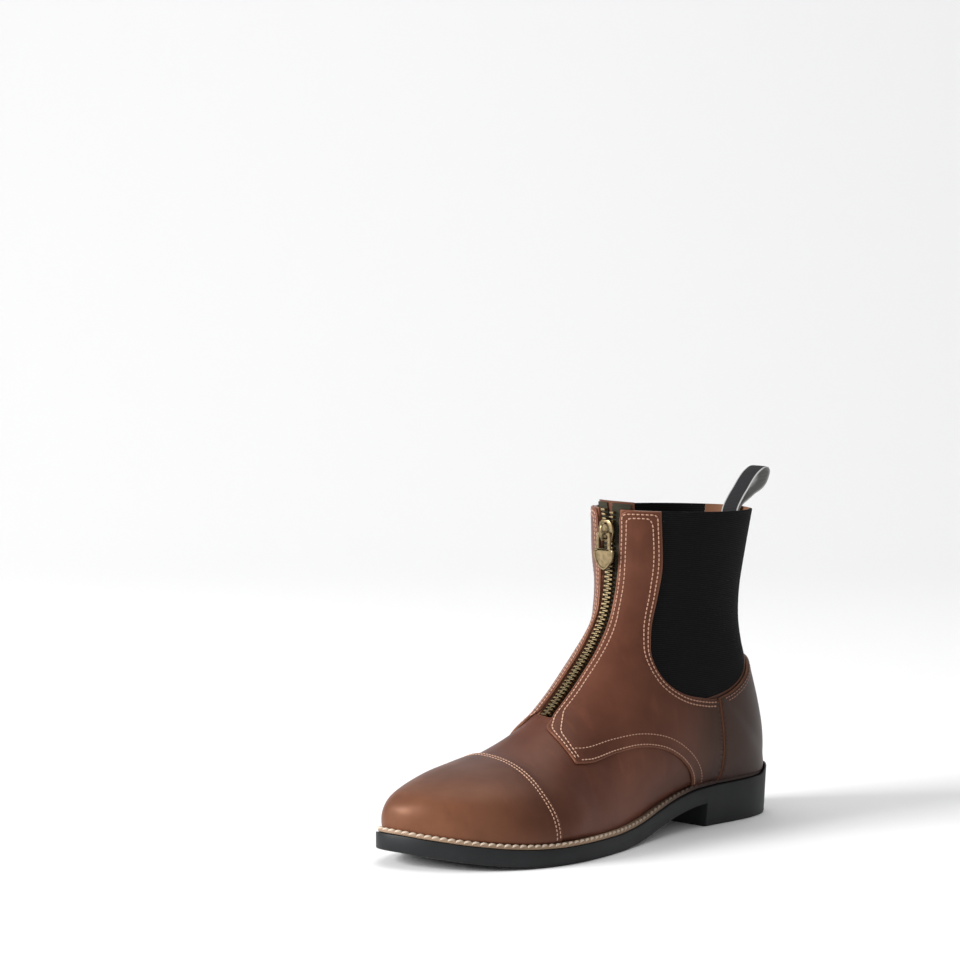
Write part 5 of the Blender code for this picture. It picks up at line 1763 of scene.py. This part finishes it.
def webbing_finish():
    """Woven tape of the loop: grey outside and black inside, paler at its edges, with ribs across its run,
    darker between them as painted shade.
    """
    made, tree, shader = finish_of("webbing", 0.8, specular=0.3)
    x = maths(tree, "ADD", put(tree, "ShaderNodeSeparateXYZ", in_0=own_place(tree)).outputs[0], -SHIFT[0])
    beside = maths(tree, "MULTIPLY", maths(tree, "ABSOLUTE", x), 100.0)
    edge = ramp(tree, beside, (0.50, BLACK), (0.53, WHITE))
    wave = maths(tree, "SINE", maths(tree, "MULTIPLY", mark(tree, "run_mm"), 7.0))
    rib = maths(tree, "MULTIPLY", maths(tree, "ADD", wave, 1.0), 0.5)
    black = mix(tree, rib, (0.006, 0.006, 0.007), (0.016, 0.016, 0.018))
    grey = mix(tree, rib, (0.19, 0.19, 0.185), (0.36, 0.36, 0.35))
    colour = mix(tree, ramp(tree, mark(tree, "face"), (0.0, BLACK), (0.3, WHITE)), black, grey)
    colour = mix(tree, maths(tree, "MULTIPLY", edge, 0.8), colour, (0.45, 0.45, 0.44))
    tree.links.new(colour, shader.inputs["Base Color"])
    bump(tree, shader, wave, 0.3, 0.0003)
    return made


def board_finish(group):
    """Plain board of the insole, in soft patches."""
    made, tree, shader = finish_of("board", 0.75)
    effects = put(tree, "ShaderNodeGroup", node_tree=group).outputs
    colour = ramp(tree, effects[0], (0.3, (0.20, 0.105, 0.06)), (0.7, (0.28, 0.15, 0.09)))
    tree.links.new(colour, shader.inputs["Base Color"])
    return made


def build_finishes():
    """Every material of the boot."""
    leather, ribs = leather_group(), weave_group()
    return {
        "leather": leather_finish("leather", leather, 1.0, 0.41),
        # The guard is darkened to 0.55 as painted shade in the gap behind the zip.
        "guard": leather_finish("guard", leather, 0.55, 0.48),
        "elastic": ribbed_finish("elastic", ribs, 0.9, 0.12, 0.0011, (0.0028, 0.0028, 0.0030),
                                 (0.0085, 0.0085, 0.0087), 0.2, 0.0002),
        "tape": ribbed_finish("tape", ribs, 0.85, 0.3, 0.0008, (0.018, 0.017, 0.010),
                              (0.042, 0.038, 0.022), 0.4, 0.0003),
        "brass": brass_finish(),
        "rubber": rubber_finish(),
        # The welt and all thread go dark towards the heel as painted shade round the back of the boot.
        "welt": thread_finish("welt", leather, 0.18, (0.34, 0.225, 0.145), (0.030, 0.016, 0.012)),
        "welt_thread": thread_finish("welt_thread", leather, 0.18, (0.66, 0.54, 0.42), (0.060, 0.032, 0.022)),
        "thread": thread_finish("thread", leather, 0.0, (0.60, 0.37, 0.26), (0.34, 0.165, 0.110)),
        # Darker copy of the thread: painted shade on the counter.
        "shaded_thread": thread_finish("shaded_thread", leather, 0.0, (0.55, 0.33, 0.23), (0.28, 0.130, 0.088)),
        "webbing": webbing_finish(),
        "board": board_finish(leather),
    }


def dress_insole():
    """The board's material on the frame's own insole."""
    for part_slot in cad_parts["insole"].material_slots:
        part_slot.material = FINISH["board"]


def area_light(name, place, size, power):
    """Square area light that points at the boot."""
    light = bpy.data.lights.new(name, "AREA")
    light.size = size
    light.energy = power
    thing = bpy.data.objects.new(name, light)
    thing.location = place
    thing.rotation_euler = (Vector((0, 0, 0.09)) - Vector(place)).to_track_quat("-Z", "Y").to_euler()
    bpy.context.collection.objects.link(thing)


def build_sweep():
    """Pale sweep under and behind the boot: a floor, a quarter circle and a wall, square to the camera."""
    turn = np.linspace(0, math.pi / 2, 24)
    bend = [(1.2 + 1.5 * math.sin(t), 1.5 - 1.5 * math.cos(t)) for t in turn]
    profile = [(-4.0, 0.0)] + bend + [(2.7, 5.0)]
    yaw = math.radians(CAMERA_YAW)
    ahead = np.array([-math.sin(yaw), math.cos(yaw), 0])
    side = np.array([math.cos(yaw), math.sin(yaw), 0])
    points = [tuple(ahead * d + side * w + np.array([0, 0, z])) for d, z in profile for w in (-5.0, 5.0)]
    faces = [(2 * k, 2 * k + 1, 2 * k + 3, 2 * k + 2) for k in range(len(profile) - 1)]
    mesh = bpy.data.meshes.new("studio_sweep")
    mesh.from_pydata(points, [], faces)
    mesh.polygons.foreach_set("use_smooth", np.ones(len(mesh.polygons), bool))
    sweep = bpy.data.objects.new("studio_sweep", mesh)
    bpy.context.collection.objects.link(sweep)
    paper, _, shader = finish_of("studio_paper", 0.9, specular=0.1)
    shader.inputs["Base Color"].default_value = (0.92, 0.92, 0.925, 1.0)
    mesh.materials.append(paper)


def build_studio():
    """Sweep, soft lights, white surroundings and the camera."""
    build_sweep()
    area_light("key", (-0.9, -2.1, 1.05), 1.0, 78.0)
    area_light("fill", (2.2, -1.2, 1.0), 1.8, 4.0)
    area_light("top", (-0.1, 0.3, 2.4), 1.6, 17.0)
    bpy.context.scene.view_settings.view_transform = "Standard"
    world = bpy.data.worlds.new("studio_white")
    world.use_nodes = True
    world.node_tree.nodes["Background"].inputs[0].default_value = (1, 1, 1, 1)
    world.node_tree.nodes["Background"].inputs[1].default_value = WORLD_LIGHT
    bpy.context.scene.world = world
    camera = bpy.data.cameras.new("photo_camera")
    camera.lens = CAMERA_LENS
    camera.sensor_width = 36.0
    camera.clip_end = 50.0
    thing = bpy.data.objects.new("photo_camera", camera)
    thing.location = CAMERA_PLACE
    thing.rotation_euler = (math.radians(90 - CAMERA_TILT), 0.0, math.radians(CAMERA_YAW))
    bpy.context.collection.objects.link(thing)
    bpy.context.scene.camera = thing


NUMBERS = fine_rows()
FOOT_LAST = int(np.searchsorted(NUMBERS, len(FOOT_SECTIONS)))
ZIP_SHARE = share_at(front_line(), side_points([ZIP_END])[0])
GRID = softened_heel(last_surface())
GRID = GRID - grid_normals(GRID) * folds(GRID)[..., None]
NORMAL = grid_normals(GRID)
FIELDS = build_base_fields()
TREE = BVHTree.FromPolygons(GRID.reshape(-1, 3).tolist(), grid_faces(*GRID.shape[:2]).tolist())
FINISH = build_finishes()

build_outsole_shown()
build_welt_shown()
build_leather()
build_strips()
build_teeth()
build_slider_shown()
build_pull_shown()
build_loop_shown()
build_stitches()
dress_insole()
build_studio()
